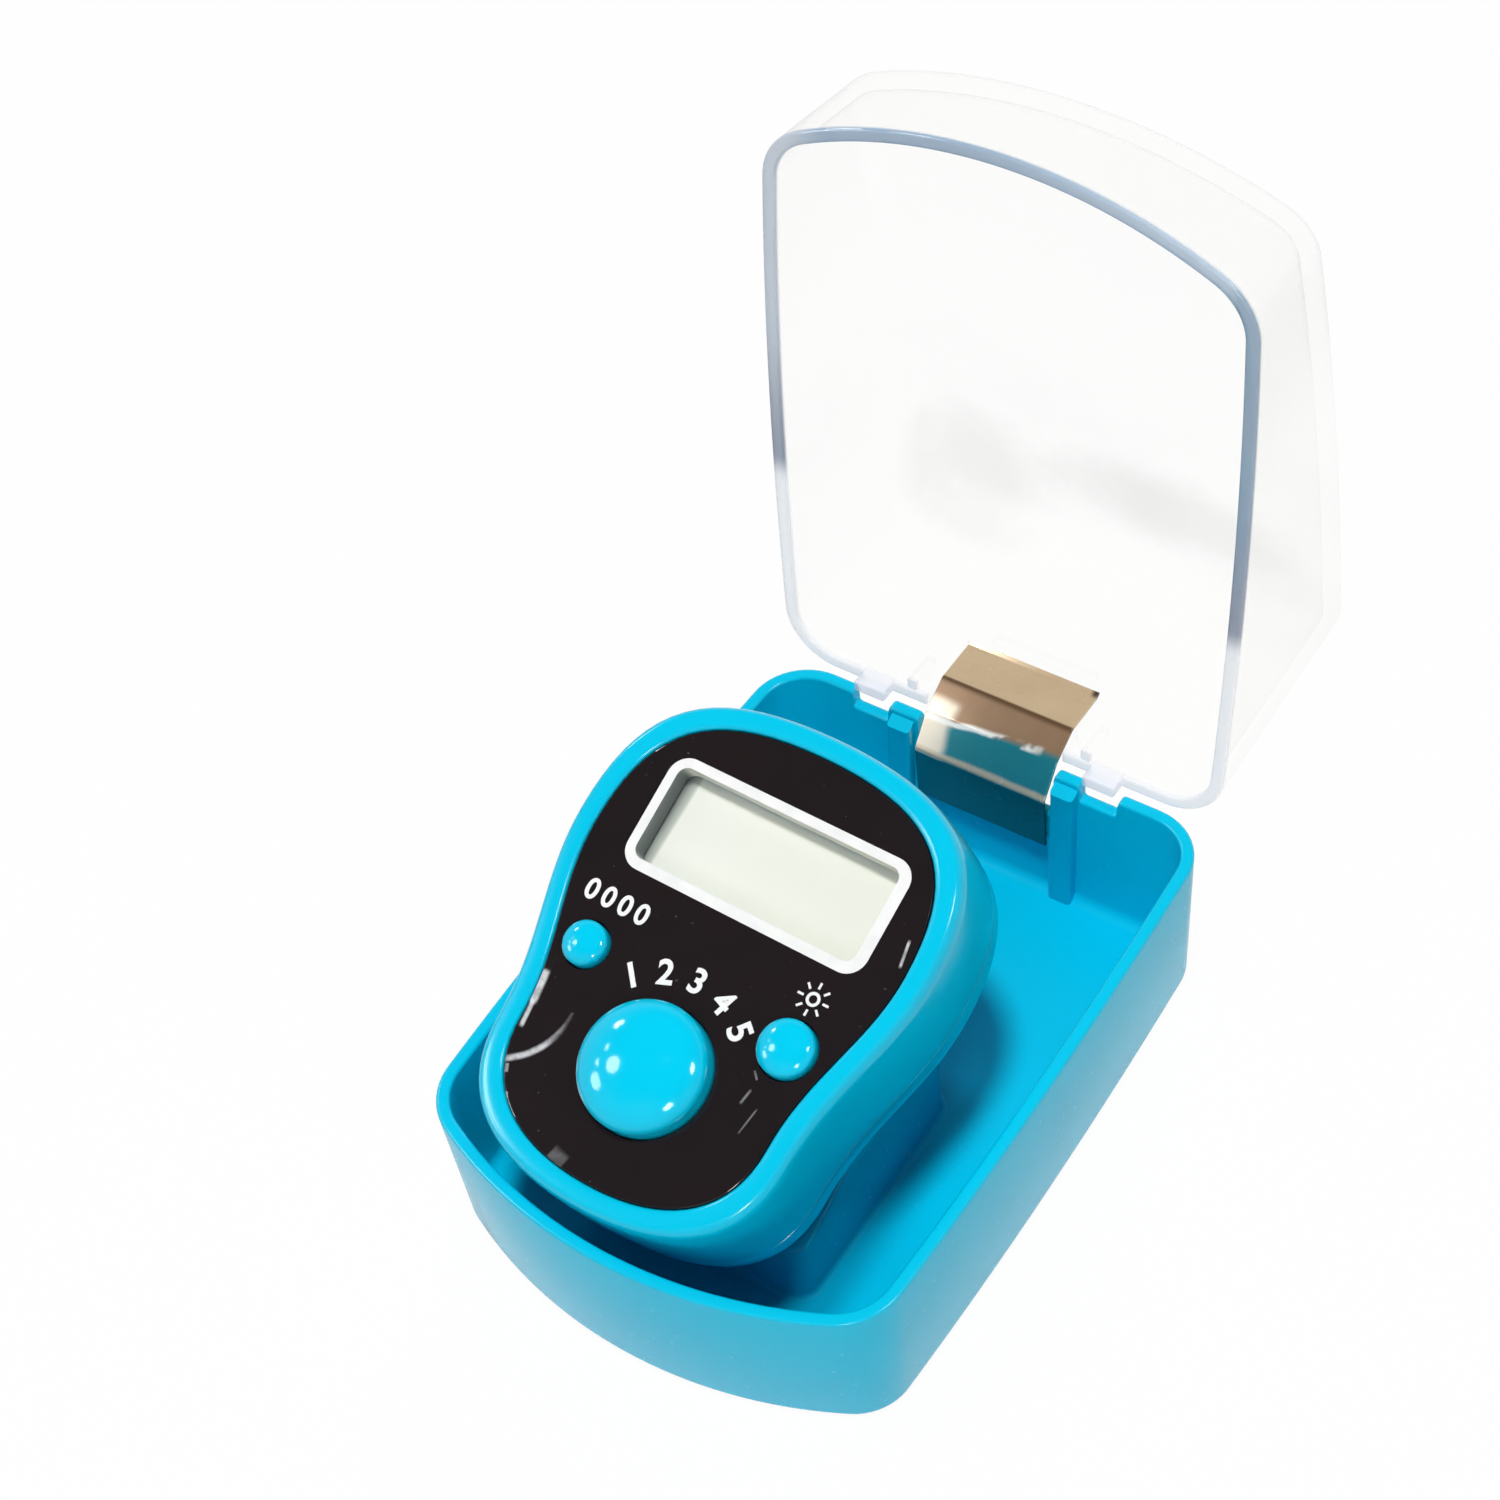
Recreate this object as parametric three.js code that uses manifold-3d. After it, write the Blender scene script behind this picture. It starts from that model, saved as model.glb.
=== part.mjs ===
// A digital finger counter standing tilted in its small hinged display case, with the clear lid open.
// Millimetres, +Z up, -Y towards the front of the case, origin at the middle of the case's underside.
import * as THREE from 'three';
import { mergeVertices } from 'three/addons/utils/BufferGeometryUtils.js';
import Module from 'manifold-3d';

const library = await Module();
library.setup();

// Case: both halves share one outline, straight at the hinge and bowed at the front
const CASE_LENGTH = 57;
const CASE_WIDTH = 40.5;
const CASE_WALL = 1.1;
const FRONT_BOW = 5.6;
const SIDE_BOW = 0.45;
const BACK_CORNER = 5;
const FRONT_CORNER = 5.7;
const BASE_HEIGHT = 14.8;
const BASE_FLOOR = 1.2;
const BASE_TAPER = 0.9;
const BASE_SIDE_TAPER = 0.35;
const BASE_EDGE = 0.8;
const LID_DEPTH_BACK = 25.3;
const LID_DEPTH_FRONT = 10.2;
const LID_TAPER = 0.7;
const LID_EDGE = 1.6;
const LID_OPEN_ANGLE = 94;
const HINGE_CLEARANCE = 0.15;

// Hinge side of the case
const LUG_SPACING = 21.4;
const LUG_WIDTH = 3.9;
const LUG_DROP = 1.3;
const LUG_NOTCH_DEPTH = 1.7;
const SPRING_WIDTH = 12.1;
const SPRING_THICKNESS = 0.3;
const SPRING_LID_REACH = 7.2;
const SPRING_CREASE = 2.6;
const SPRING_BULGE = 0.6;
const SPRING_SHOULDER = 2.3;
const SPRING_BASE_REACH = 8.6;
const SPRING_NOTCH_WIDTH = 12.8;
const SPRING_NOTCH_DEPTH = 4.8;
const CATCH_HEIGHT = 0.9;
const RIB_SPACING = 16.2;
const RIB_WIDTH = 1.1;
const RIB_DEPTH = 1;

// Box on the tray floor whose sloped top carries the counter and whose pocket holds its strap
const STAND_WIDTH = 19.4;
const STAND_FRONT = -17.5;
const STAND_LENGTH = 21.3;
const STAND_WALL = 1.2;

// Counter body, measured on its black face: a pear outline, wide at the display
const FACE_LENGTH = 36;
const FACE_WIDTH = 28.1;
const FACE_WAIST = 22.5;
const RIM_WIDTH = 1.9;
const RIM_RISE = 0.2;
const BODY_THICKNESS = 12.4;
const SEAM_DEPTH = 9;
const SHELL_WALL = 1.3;
const FILM_THICKNESS = 0.5;
const DECK_THICKNESS = 1.2;
const BACK_EDGE = 1.8;
const SEAM_LIP = 0.9;
const COUNTER_TILT = 23.5;
const COUNTER_TURN = -2.3;
const COUNTER_SPOT = [-2.8, -8.5];
const FRONT_END_LIFT = 2.5;

// Display, seen through the window in the face
const WINDOW_WIDTH = 20;
const WINDOW_HEIGHT = 7.9;
const WINDOW_CORNER = 0.9;
const WINDOW_TO_END = 9;
const DISPLAY_MARGIN = 1.4;
const DISPLAY_THICKNESS = 1.7;
const GUIDE_THICKNESS = 1;
const CONNECTOR_WIDTH = 1.6;

// Buttons: radius and height over the face, and how far their middles lie from its end and sides
const COUNT_RADIUS = 5.1;
const COUNT_HEIGHT = 3.3;
const COUNT_TO_END = 9.4;
const RESET_RADIUS = 1.8;
const RESET_HEIGHT = 1.3;
const RESET_TO_SIDE = 4.65;
const LED_RADIUS = 2.25;
const LED_HEIGHT = 1.5;
const LED_TO_SIDE = 5.15;
const SMALL_BUTTONS_TO_END = 15.5;
const BUTTON_FLANGE = 0.6;
const FLANGE_THICKNESS = 0.7;
const BUTTON_TRAVEL = 0.6;
const STEM_RADIUS = 1.3;
const SWITCH_HEIGHT = 0.8;
const SWITCH_RADIUS = 2;

// Board, cell and fasteners
const BOARD_THICKNESS = 0.8;
const BOARD_DEPTH = 5.8;
const CELL_RADIUS = 5.8;
const CELL_THICKNESS = 3;
const CELL_TO_END = 6.7;
const CONTACT_THICKNESS = 0.2;
const CONTACT_WIDTH = 5;
const DOOR_WIDTH = 15;
const DOOR_LENGTH = 13.6;
const DOOR_CORNER = 2;
const DOOR_THICKNESS = 1.1;
const GRIP_WIDTH = 0.8;
const CHIP_RADIUS = 3;
const CHIP_HEIGHT = 1.2;
const CHIP_TO_END = 12.5;
const LAMP_SIZE = [1.4, 3, 1.2];
const BOSS_RADIUS = 1.7;
const SCREW_RADIUS = 0.7;
const SCREW_LENGTH = 5.6;
const SCREW_HEAD_RADIUS = 1.3;
const SCREW_HEAD_HEIGHT = 0.8;
const SIDE_SCREW_TO_SIDE = 1.85;
const SIDE_SCREW_TO_END = 19.6;
const FRONT_SCREW_SPACING = 13;
const FRONT_SCREW_TO_END = 3.4;

// Finger strap: two soft halves hooked in the back shell, closed by a tongue through a buckle
const STRAP_WIDTH = 9;
const STRAP_THICKNESS = 1.2;
const STRAP_SLOT_TO_END = 6.4;
const STRAP_SLOT_TO_DOOR = 1.3;
const STRAP_HOOK = 0.8;
const STRAP_BEND = 1.6;
const TONGUE_WIDTH = 6.4;
const TONGUE_HOLES = 5;
const TONGUE_PITCH = 1.9;
const TONGUE_HOLE_RADIUS = 0.5;
const BUCKLE_LENGTH = 3;

// Gaps left between pieces that touch or slide
const GAP = 0.3;
const STAND_GAP = 0.45;

const CASE_BACK = CASE_LENGTH / 2;
const CASE_FRONT = -CASE_LENGTH / 2;
const HINGE = [0, CASE_BACK + HINGE_CLEARANCE, BASE_HEIGHT + HINGE_CLEARANCE];
const DECK_TOP = -FILM_THICKNESS - GAP;
const DECK_BOTTOM = DECK_TOP - DECK_THICKNESS;
const BACK_INSIDE = -BODY_THICKNESS + SHELL_WALL;
const INSIDE_GROW = RIM_WIDTH - SHELL_WALL;
const TILT = THREE.MathUtils.degToRad(COUNTER_TILT);
const OUTLINE_STEPS = 8;

// Places on the face, from its middle: the display end lies at +y, the button end at -y
const BUTTON_END = -FACE_LENGTH / 2;
const WINDOW_PLACE = FACE_LENGTH / 2 - WINDOW_TO_END;
const CELL_PLACE = [0, FACE_LENGTH / 2 - CELL_TO_END];
const CHIP_PLACE = [0, BUTTON_END + CHIP_TO_END];
const STRAP_FRONT_SLOT = BUTTON_END + STRAP_SLOT_TO_END;
const STRAP_BACK_SLOT = CELL_PLACE[1] - DOOR_LENGTH / 2 - STRAP_SLOT_TO_DOOR;
const buttons = {
  count_button: {
    radius: COUNT_RADIUS,
    height: COUNT_HEIGHT,
    place: [0, BUTTON_END + COUNT_TO_END],
  },
  reset_button: {
    radius: RESET_RADIUS,
    height: RESET_HEIGHT,
    place: [RESET_TO_SIDE - FACE_WIDTH / 2, BUTTON_END + SMALL_BUTTONS_TO_END],
  },
  led_button: {
    radius: LED_RADIUS,
    height: LED_HEIGHT,
    place: [FACE_WIDTH / 2 - LED_TO_SIDE, BUTTON_END + SMALL_BUTTONS_TO_END],
  },
};
const SCREW_PLACES = {
  right: [FACE_WIDTH / 2 - SIDE_SCREW_TO_SIDE, BUTTON_END + SIDE_SCREW_TO_END],
  left: [SIDE_SCREW_TO_SIDE - FACE_WIDTH / 2, BUTTON_END + SIDE_SCREW_TO_END],
  front_right: [FRONT_SCREW_SPACING / 2, BUTTON_END + FRONT_SCREW_TO_END],
  front_left: [-FRONT_SCREW_SPACING / 2, BUTTON_END + FRONT_SCREW_TO_END],
};

const paint = (color, roughness, metalness = 0, opacity = 1) =>
  new THREE.MeshStandardMaterial({ color, roughness, metalness, opacity, transparent: opacity < 1 });

const cyanPlastic = paint(0x00b8e0, 0.25);
const clearPlastic = paint(0xdfe9f2, 0.08, 0, 0.25);
const springSteel = paint(0xb8a890, 0.15, 1);
const faceInk = paint(0x111114, 0.15);
const displayGrey = paint(0xd4d8cc, 0.2);
const boardGreen = paint(0x1d6b3a, 0.5);
const steel = paint(0xb9bcc0, 0.3, 1);
const gold = paint(0xc9a24a, 0.35, 1);
const rubber = paint(0x3a3a3c, 0.8);
const epoxy = paint(0x151515, 0.4);
const lampWhite = paint(0xf6f3e4, 0.3);
const guideWhite = paint(0xf4f6f6, 0.4);

// Turns a closed geometry into a solid that can be cut and joined.
function solid(geometry) {
  const bare = geometry.clone();
  bare.deleteAttribute('normal');
  bare.deleteAttribute('uv');
  const merged = mergeVertices(bare, 1e-5);
  const vertProperties = new Float32Array(merged.attributes.position.array);
  const triVerts = new Uint32Array(merged.index.array);
  return new library.Manifold(new library.Mesh({ numProp: 3, vertProperties, triVerts }));
}

// Turns a solid back into a flat-shaded geometry.
function surface(body) {
  const mesh = body.getMesh();
  const geometry = new THREE.BufferGeometry();
  geometry.setAttribute('position', new THREE.BufferAttribute(new Float32Array(mesh.vertProperties), 3));
  geometry.setIndex(new THREE.BufferAttribute(new Uint32Array(mesh.triVerts), 1));
  const flat = geometry.toNonIndexed();
  flat.computeVertexNormals();
  return flat;
}

const join = (...bodies) => bodies.reduce((all, one) => all.add(one));
const cut = (body, ...tools) => tools.reduce((rest, tool) => rest.subtract(tool), body);

// Box with its middle at x, y and its lower and upper faces at given heights.
function box(width, length, low, high, x = 0, y = 0) {
  const geometry = new THREE.BoxGeometry(width, length, high - low);
  return solid(geometry.translate(x, y, (low + high) / 2));
}

function cylinder(radius, low, high, [x, y], sides = 24) {
  const geometry = new THREE.CylinderGeometry(radius, radius, high - low, sides);
  return solid(geometry.rotateX(Math.PI / 2).translate(x, y, (low + high) / 2));
}

// Profile of [radius, height] points turned round a vertical axis at x, y.
function turned(profile, [x, y], sides = 32) {
  const points = profile.map(([radius, height]) => new THREE.Vector2(radius, height));
  return solid(new THREE.LatheGeometry(points, sides).rotateX(Math.PI / 2).translate(x, y, 0));
}

// Outline in the XY plane raised between two heights.
function raised(shape, low, high, steps = 6) {
  const options = { depth: high - low, bevelEnabled: false, curveSegments: steps };
  return solid(new THREE.ExtrudeGeometry(shape, options).translate(0, 0, low));
}

const outlined = (points) => new THREE.Shape(points.map(([a, b]) => new THREE.Vector2(a, b)));

// Profile in the YZ plane given a width along X, centred on x = 0.
function drawnAcross(shape, width, steps = 6) {
  const options = { depth: width, bevelEnabled: false, curveSegments: steps };
  const geometry = new THREE.ExtrudeGeometry(shape, options).translate(0, 0, -width / 2);
  const turn = new THREE.Matrix4().set(0, 0, 1, 0, 1, 0, 0, 0, 0, 1, 0, 0, 0, 0, 0, 1);
  return solid(geometry.applyMatrix4(turn));
}

function roundedRectangle(width, length, radius, [x, y] = [0, 0]) {
  const shape = new THREE.Shape();
  const [a, b] = [width / 2, length / 2];
  shape.absarc(x + a - radius, y + b - radius, radius, 0, Math.PI / 2);
  shape.absarc(x - a + radius, y + b - radius, radius, Math.PI / 2, Math.PI);
  shape.absarc(x - a + radius, y - b + radius, radius, Math.PI, Math.PI * 1.5);
  shape.absarc(x + a - radius, y - b + radius, radius, Math.PI * 1.5, Math.PI * 2);
  return shape;
}

// Sheet bent along a line of [y, z] points, its corners rounded.
function bentSheet(points, thickness, width, bend = 0.8) {
  const line = roundedLine(points.map(([y, z]) => new THREE.Vector2(y, z)), bend);
  const side = (sign) => line.map((point, i) => {
    const ahead = line[Math.min(i + 1, line.length - 1)].clone().sub(line[Math.max(i - 1, 0)]).normalize();
    return new THREE.Vector2(-ahead.y, ahead.x).multiplyScalar((sign * thickness) / 2).add(point);
  });
  return drawnAcross(new THREE.Shape([...side(-1), ...side(1).reverse()]), width);
}

// Points of a line whose inner corners are replaced by curves.
function roundedLine(points, bend, steps = 5) {
  const line = [points[0]];
  for (let i = 1; i < points.length - 1; i += 1) {
    const before = points[i - 1].clone().sub(points[i]);
    const after = points[i + 1].clone().sub(points[i]);
    const reach = Math.min(bend, before.length() * 0.45, after.length() * 0.45);
    const start = before.setLength(reach).add(points[i]);
    const end = after.setLength(reach).add(points[i]);
    line.push(...new THREE.QuadraticBezierCurve(start, points[i], end).getPoints(steps));
  }
  return [...line, points[points.length - 1]];
}

// Joins rings of equally many points into one closed solid, with a flat fan over each end.
function loft(rings) {
  const count = rings[0].length;
  const positions = rings.flat().flatMap((p) => [p.x, p.y, p.z]);
  const index = [];
  for (let r = 0; r < rings.length - 1; r += 1) {
    for (let i = 0; i < count; i += 1) {
      const [a, b] = [r * count + i, r * count + ((i + 1) % count)];
      index.push(a, b, b + count, a, b + count, a + count);
    }
  }
  addFan(rings[0], positions, index, 0, true);
  addFan(rings[rings.length - 1], positions, index, (rings.length - 1) * count, false);
  const geometry = new THREE.BufferGeometry();
  geometry.setAttribute('position', new THREE.Float32BufferAttribute(positions, 3));
  return solid(geometry.setIndex(index));
}

function addFan(ring, positions, index, first, facesDown) {
  const middle = ring.reduce((sum, p) => sum.add(p), new THREE.Vector3()).divideScalar(ring.length);
  const hub = positions.length / 3;
  positions.push(middle.x, middle.y, middle.z);
  for (let i = 0; i < ring.length; i += 1) {
    const next = (i + 1) % ring.length;
    if (facesDown) index.push(hub, first + next, first + i);
    else index.push(hub, first + i, first + next);
  }
}

// Outline of the case drawn in by an inset, anticlockwise from the middle of the hinge side.
function caseOutline(inset, sideInset = inset) {
  const half = CASE_WIDTH / 2 - sideInset;
  const [back, front] = [CASE_BACK - inset, CASE_FRONT + inset];
  const [rb, rf] = [BACK_CORNER - inset, FRONT_CORNER - inset];
  const bowRadius = (CASE_WIDTH ** 2 / 4 + FRONT_BOW ** 2) / (2 * FRONT_BOW) - inset;
  const bowMiddle = front + bowRadius;
  const cornerY = bowMiddle - Math.sqrt((bowRadius - rf) ** 2 - (half - rf) ** 2);
  const lean = Math.atan2(bowMiddle - cornerY, half - rf);
  const side = (sign) => new THREE.QuadraticBezierCurve(
    new THREE.Vector2(sign * half, sign > 0 ? cornerY : back - rb),
    new THREE.Vector2(sign * (half + 2 * SIDE_BOW), (back + front) / 2),
    new THREE.Vector2(sign * half, sign > 0 ? back - rb : cornerY),
  );
  const arc = (x, y, r, from, to) => new THREE.EllipseCurve(x, y, r, r, from, to, false);
  return [
    ...arc(-half + rb, back - rb, rb, Math.PI / 2, Math.PI).getPoints(6),
    ...side(-1).getPoints(6).slice(1, -1),
    ...arc(-half + rf, cornerY, rf, Math.PI, Math.PI + lean).getPoints(6),
    ...arc(0, bowMiddle, bowRadius, Math.PI + lean, Math.PI * 2 - lean).getPoints(12).slice(1, -1),
    ...arc(half - rf, cornerY, rf, -lean, 0).getPoints(6),
    ...side(1).getPoints(6).slice(1, -1),
    ...arc(half - rb, back - rb, rb, 0, Math.PI / 2).getPoints(6),
  ];
}

// Inset of the base's outer wall at a height, from its taper.
const baseInset = (height, taper = BASE_TAPER) => taper * (1 - height / BASE_HEIGHT);

// Ring on the base at a height, drawn in from its tapered wall by an inset.
function baseRing(inset, height) {
  const outline = caseOutline(inset + baseInset(height), inset + baseInset(height, BASE_SIDE_TAPER));
  return outline.map((p) => new THREE.Vector3(p.x, p.y, height));
}

function baseTray() {
  const inner = BASE_FLOOR + BASE_EDGE;
  return loft([
    baseRing(BASE_EDGE, 0),
    baseRing(BASE_EDGE * 0.3, BASE_EDGE * 0.3),
    baseRing(0, BASE_EDGE),
    baseRing(0, BASE_HEIGHT),
    baseRing(CASE_WALL, BASE_HEIGHT),
    baseRing(CASE_WALL, inner),
    baseRing(CASE_WALL + BASE_EDGE, BASE_FLOOR),
  ]);
}

// Height in the case frame of the counter's underside at a place along Y, with the gap below it.
const standTop = (y) => undersidePoint(0).z + (y - undersidePoint(0).y) * Math.tan(TILT) - STAND_GAP;

function stand() {
  const back = STAND_FRONT + STAND_LENGTH;
  const foot = BASE_FLOOR - GAP;
  const profile = [
    [STAND_FRONT, foot],
    [back, foot],
    [back, standTop(back)],
    [STAND_FRONT, standTop(STAND_FRONT)],
  ];
  const block = drawnAcross(outlined(profile), STAND_WIDTH);
  const inner = [STAND_WIDTH - 2 * STAND_WALL, STAND_LENGTH - 2 * STAND_WALL];
  return cut(block, box(...inner, BASE_FLOOR, BASE_HEIGHT * 2, 0, STAND_FRONT + STAND_LENGTH / 2));
}

// Upright rib on the inside of the hinge wall, beside the spring.
function wallRib(x) {
  const face = CASE_BACK - CASE_WALL;
  const top = BASE_HEIGHT - RIB_DEPTH;
  const foot = BASE_FLOOR - GAP;
  const profile = [
    [face - baseInset(BASE_FLOOR) - RIB_DEPTH, foot],
    [face + GAP, foot],
    [face + GAP, top],
    [face - RIB_DEPTH, top - RIB_DEPTH],
  ];
  return drawnAcross(outlined(profile), RIB_WIDTH).translate(x, 0, 0);
}

function caseBase() {
  const through = CASE_WALL * 3;
  const above = BASE_HEIGHT + GAP;
  const springNotch = box(SPRING_NOTCH_WIDTH, through, BASE_HEIGHT - SPRING_NOTCH_DEPTH, above, 0, CASE_BACK);
  const lugNotches = [-1, 1].map((side) => box(
    LUG_WIDTH + 2 * GAP, through, BASE_HEIGHT - LUG_NOTCH_DEPTH, above, (side * LUG_SPACING) / 2, CASE_BACK,
  ));
  const ribs = [-1, 1].map((side) => wallRib((side * RIB_SPACING) / 2));
  return cut(join(baseTray(), stand(), ...ribs), springNotch, ...lugNotches);
}

// Depth of the closed lid at a place along Y: it slopes down from the hinge to the front.
function lidDepth(y) {
  const share = (CASE_BACK - y) / CASE_LENGTH;
  return LID_DEPTH_BACK + (LID_DEPTH_FRONT - LID_DEPTH_BACK) * share;
}

// Ring on the lid: a share of the way up its wall, less a drop, with the wall's taper.
function lidRing(inset, share, drop = 0) {
  return caseOutline(inset + LID_TAPER * share).map((p) => {
    const height = share > 0 ? lidDepth(p.y) * share - drop : GAP;
    return new THREE.Vector3(p.x, p.y - HINGE[1], height - HINGE_CLEARANCE);
  });
}

function lidShell() {
  const half = LID_EDGE * 0.3;
  return loft([
    lidRing(CASE_WALL + LID_EDGE, 1, CASE_WALL),
    lidRing(CASE_WALL + half, 1, CASE_WALL + half),
    lidRing(CASE_WALL, 1, CASE_WALL + LID_EDGE),
    lidRing(CASE_WALL, 0),
    lidRing(0, 0),
    lidRing(0, 1, LID_EDGE),
    lidRing(half, 1, half),
    lidRing(LID_EDGE, 1, 0),
  ]);
}

// The closed lid with its rim down, measured from the hinge line.
function caseLid() {
  const wallFace = -HINGE_CLEARANCE - CASE_WALL;
  const lug = (side) => box(
    LUG_WIDTH, CASE_WALL, -LUG_DROP - HINGE_CLEARANCE, CATCH_HEIGHT, (side * LUG_SPACING) / 2,
    wallFace + CASE_WALL / 2 - HINGE_CLEARANCE,
  );
  const inside = wallFace - CATCH_HEIGHT / 2;
  const beyondLeaf = SPRING_LID_REACH + GAP * 2;
  const depth = CATCH_HEIGHT + GAP;
  const catchBar = box(SPRING_WIDTH * 0.8, depth, beyondLeaf, beyondLeaf + CATCH_HEIGHT, 0, inside);
  const guide = (side) => box(
    CATCH_HEIGHT, depth, GAP, SPRING_LID_REACH / 2, (side * RIB_SPACING) / 2, inside,
  );
  const notchTop = SPRING_CREASE + GAP;
  const leafNotch = box(SPRING_NOTCH_WIDTH, CASE_WALL * 3, -GAP, notchTop, 0, wallFace + CASE_WALL / 2);
  return join(cut(lidShell(), leafNotch), lug(-1), lug(1), catchBar, guide(-1), guide(1));
}

// Leaf bent over the hinge line: one end lies on the lid's wall, the other on the base's.
function hingeSpring() {
  const lidFace = CASE_WALL + GAP * 2;
  const fall = Math.tan(THREE.MathUtils.degToRad(LID_OPEN_ANGLE - 90)) - LID_TAPER / LID_DEPTH_BACK;
  const onLid = (y) => lidFace + SPRING_THICKNESS / 2 - y * fall;
  const wall = -CASE_WALL - SPRING_THICKNESS / 2 - GAP;
  const foot = wall - baseInset(BASE_HEIGHT - SPRING_BASE_REACH);
  const line = [
    [SPRING_LID_REACH, onLid(SPRING_LID_REACH)],
    [SPRING_CREASE, onLid(SPRING_CREASE)],
    [0, SPRING_THICKNESS],
    [wall - SPRING_BULGE, -SPRING_SHOULDER],
    [foot, -SPRING_BASE_REACH],
  ];
  return bentSheet(line, SPRING_THICKNESS, SPRING_WIDTH).translate(0, CASE_BACK, BASE_HEIGHT);
}

// Outline of the counter's face grown outwards, anticlockwise from the middle of the display end.
function faceOutline(grow) {
  const end = FACE_LENGTH / 2 + grow;
  const wide = FACE_WIDTH / 2 + grow;
  const waist = FACE_WAIST / 2 + grow;
  const point = (x, y) => new THREE.Vector2(x, y);
  const curve = (a, b, c, d) => new THREE.CubicBezierCurve(a, b, c, d);
  const left = [
    curve(point(0, end), point(-wide * 0.73, end), point(-wide, end * 0.81), point(-wide, end / 3)),
    curve(point(-wide, end / 3), point(-wide, 0.5), point(-waist, -end * 0.19), point(-waist, -end * 0.53)),
    curve(point(-waist, -end * 0.53), point(-waist, -end * 0.86), point(-waist * 0.58, -end), point(0, -end)),
  ];
  const half = left.flatMap((part) => part.getPoints(OUTLINE_STEPS).slice(0, -1));
  const mirrored = half.map((p) => point(-p.x, p.y)).reverse();
  return [...half, point(0, -end), ...mirrored.slice(0, -1)];
}

const faceRing = (grow, height) => faceOutline(grow).map((p) => new THREE.Vector3(p.x, p.y, height));

const slab = (grow, low, high) => loft([faceRing(grow, low), faceRing(grow, high)]);

// Hole through the face and the deck for a button.
const buttonHole = (button, low) => cylinder(button.radius + GAP, low, 1, button.place, 32);

// Plate or hole in the shape of the display window grown by a margin.
const windowPlate = (margin, low, high) => raised(
  roundedRectangle(
    WINDOW_WIDTH + 2 * margin, WINDOW_HEIGHT + 2 * margin, WINDOW_CORNER + margin, [0, WINDOW_PLACE],
  ), low, high,
);

function faceFilm() {
  const holes = Object.values(buttons).map((button) => buttonHole(button, -1));
  return cut(slab(-GAP, -FILM_THICKNESS, 0), windowPlate(0, -1, 1), ...holes);
}

const displayWindow = () => windowPlate(-GAP, -FILM_THICKNESS, 0);

// Post that takes a screw from behind.
const boss = (place) => cylinder(BOSS_RADIUS, -SEAM_DEPTH, DECK_BOTTOM + GAP, place, 20);

function frontShell() {
  const seam = -SEAM_DEPTH;
  const skin = loft([
    faceRing(INSIDE_GROW, DECK_BOTTOM), faceRing(INSIDE_GROW, seam), faceRing(RIM_WIDTH, seam),
    faceRing(RIM_WIDTH + 0.1, seam / 2), faceRing(RIM_WIDTH, -1.3), faceRing(RIM_WIDTH * 0.9, -0.35),
    faceRing(RIM_WIDTH * 0.62, RIM_RISE), faceRing(0.2, RIM_RISE * 0.7), faceRing(0, DECK_TOP),
  ]);
  const places = Object.values(SCREW_PLACES);
  const pilot = (place) => cylinder(SCREW_RADIUS + GAP, seam - 1, seam + SCREW_LENGTH * 0.75, place, 16);
  const holes = Object.values(buttons).map((button) => buttonHole(button, DECK_BOTTOM - 1));
  const display = windowPlate(0, DECK_BOTTOM - 1, 1);
  return cut(join(skin, ...places.map(boss)), display, ...holes, ...places.map(pilot));
}

// Slot through the back shell for a strap half.
const strapSlot = (v) => box(
  STRAP_WIDTH + 2 * GAP, STRAP_THICKNESS + 2 * GAP, -BODY_THICKNESS - 1, BACK_INSIDE + 1, 0, v,
);

// Plate or hole in the shape of the battery door grown by a margin.
const doorPlate = (margin, low, high) => raised(
  roundedRectangle(DOOR_WIDTH + 2 * margin, DOOR_LENGTH + 2 * margin, DOOR_CORNER + margin, CELL_PLACE),
  low, high,
);

// Recess for a screw's head and hole for its shank.
function screwHole(place) {
  const headTop = -BODY_THICKNESS + SCREW_HEAD_HEIGHT + GAP * 2;
  const head = cylinder(SCREW_HEAD_RADIUS + GAP, -BODY_THICKNESS - 1, headTop, place, 20);
  return join(head, cylinder(SCREW_RADIUS + GAP, -BODY_THICKNESS, -SEAM_DEPTH + SEAM_LIP, place, 16));
}

function backShell() {
  const top = -SEAM_DEPTH - GAP;
  const bottom = -BODY_THICKNESS;
  const lipGrow = INSIDE_GROW - GAP;
  const skin = loft([
    faceRing(RIM_WIDTH - BACK_EDGE, bottom), faceRing(RIM_WIDTH - BACK_EDGE * 0.3, bottom + BACK_EDGE * 0.3),
    faceRing(RIM_WIDTH - 0.1, bottom + BACK_EDGE), faceRing(RIM_WIDTH - 0.1, top), faceRing(lipGrow, top),
    faceRing(lipGrow, top + SEAM_LIP + GAP), faceRing(lipGrow - SHELL_WALL / 2, top + SEAM_LIP + GAP),
    faceRing(lipGrow - SHELL_WALL / 2, top), faceRing(lipGrow - SHELL_WALL / 2, BACK_INSIDE),
  ]);
  const places = Object.values(SCREW_PLACES);
  const seats = places.map((place) => cylinder(BOSS_RADIUS, bottom + GAP, top, place, 20));
  const slots = [STRAP_FRONT_SLOT, STRAP_BACK_SLOT].map(strapSlot);
  const room = places.map((place) => cylinder(BOSS_RADIUS + GAP, top, 0, place, 20));
  const screwHoles = places.map(screwHole);
  return cut(join(skin, ...seats), ...slots, ...room, ...screwHoles, doorPlate(GAP, bottom - 1, 0));
}

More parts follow.
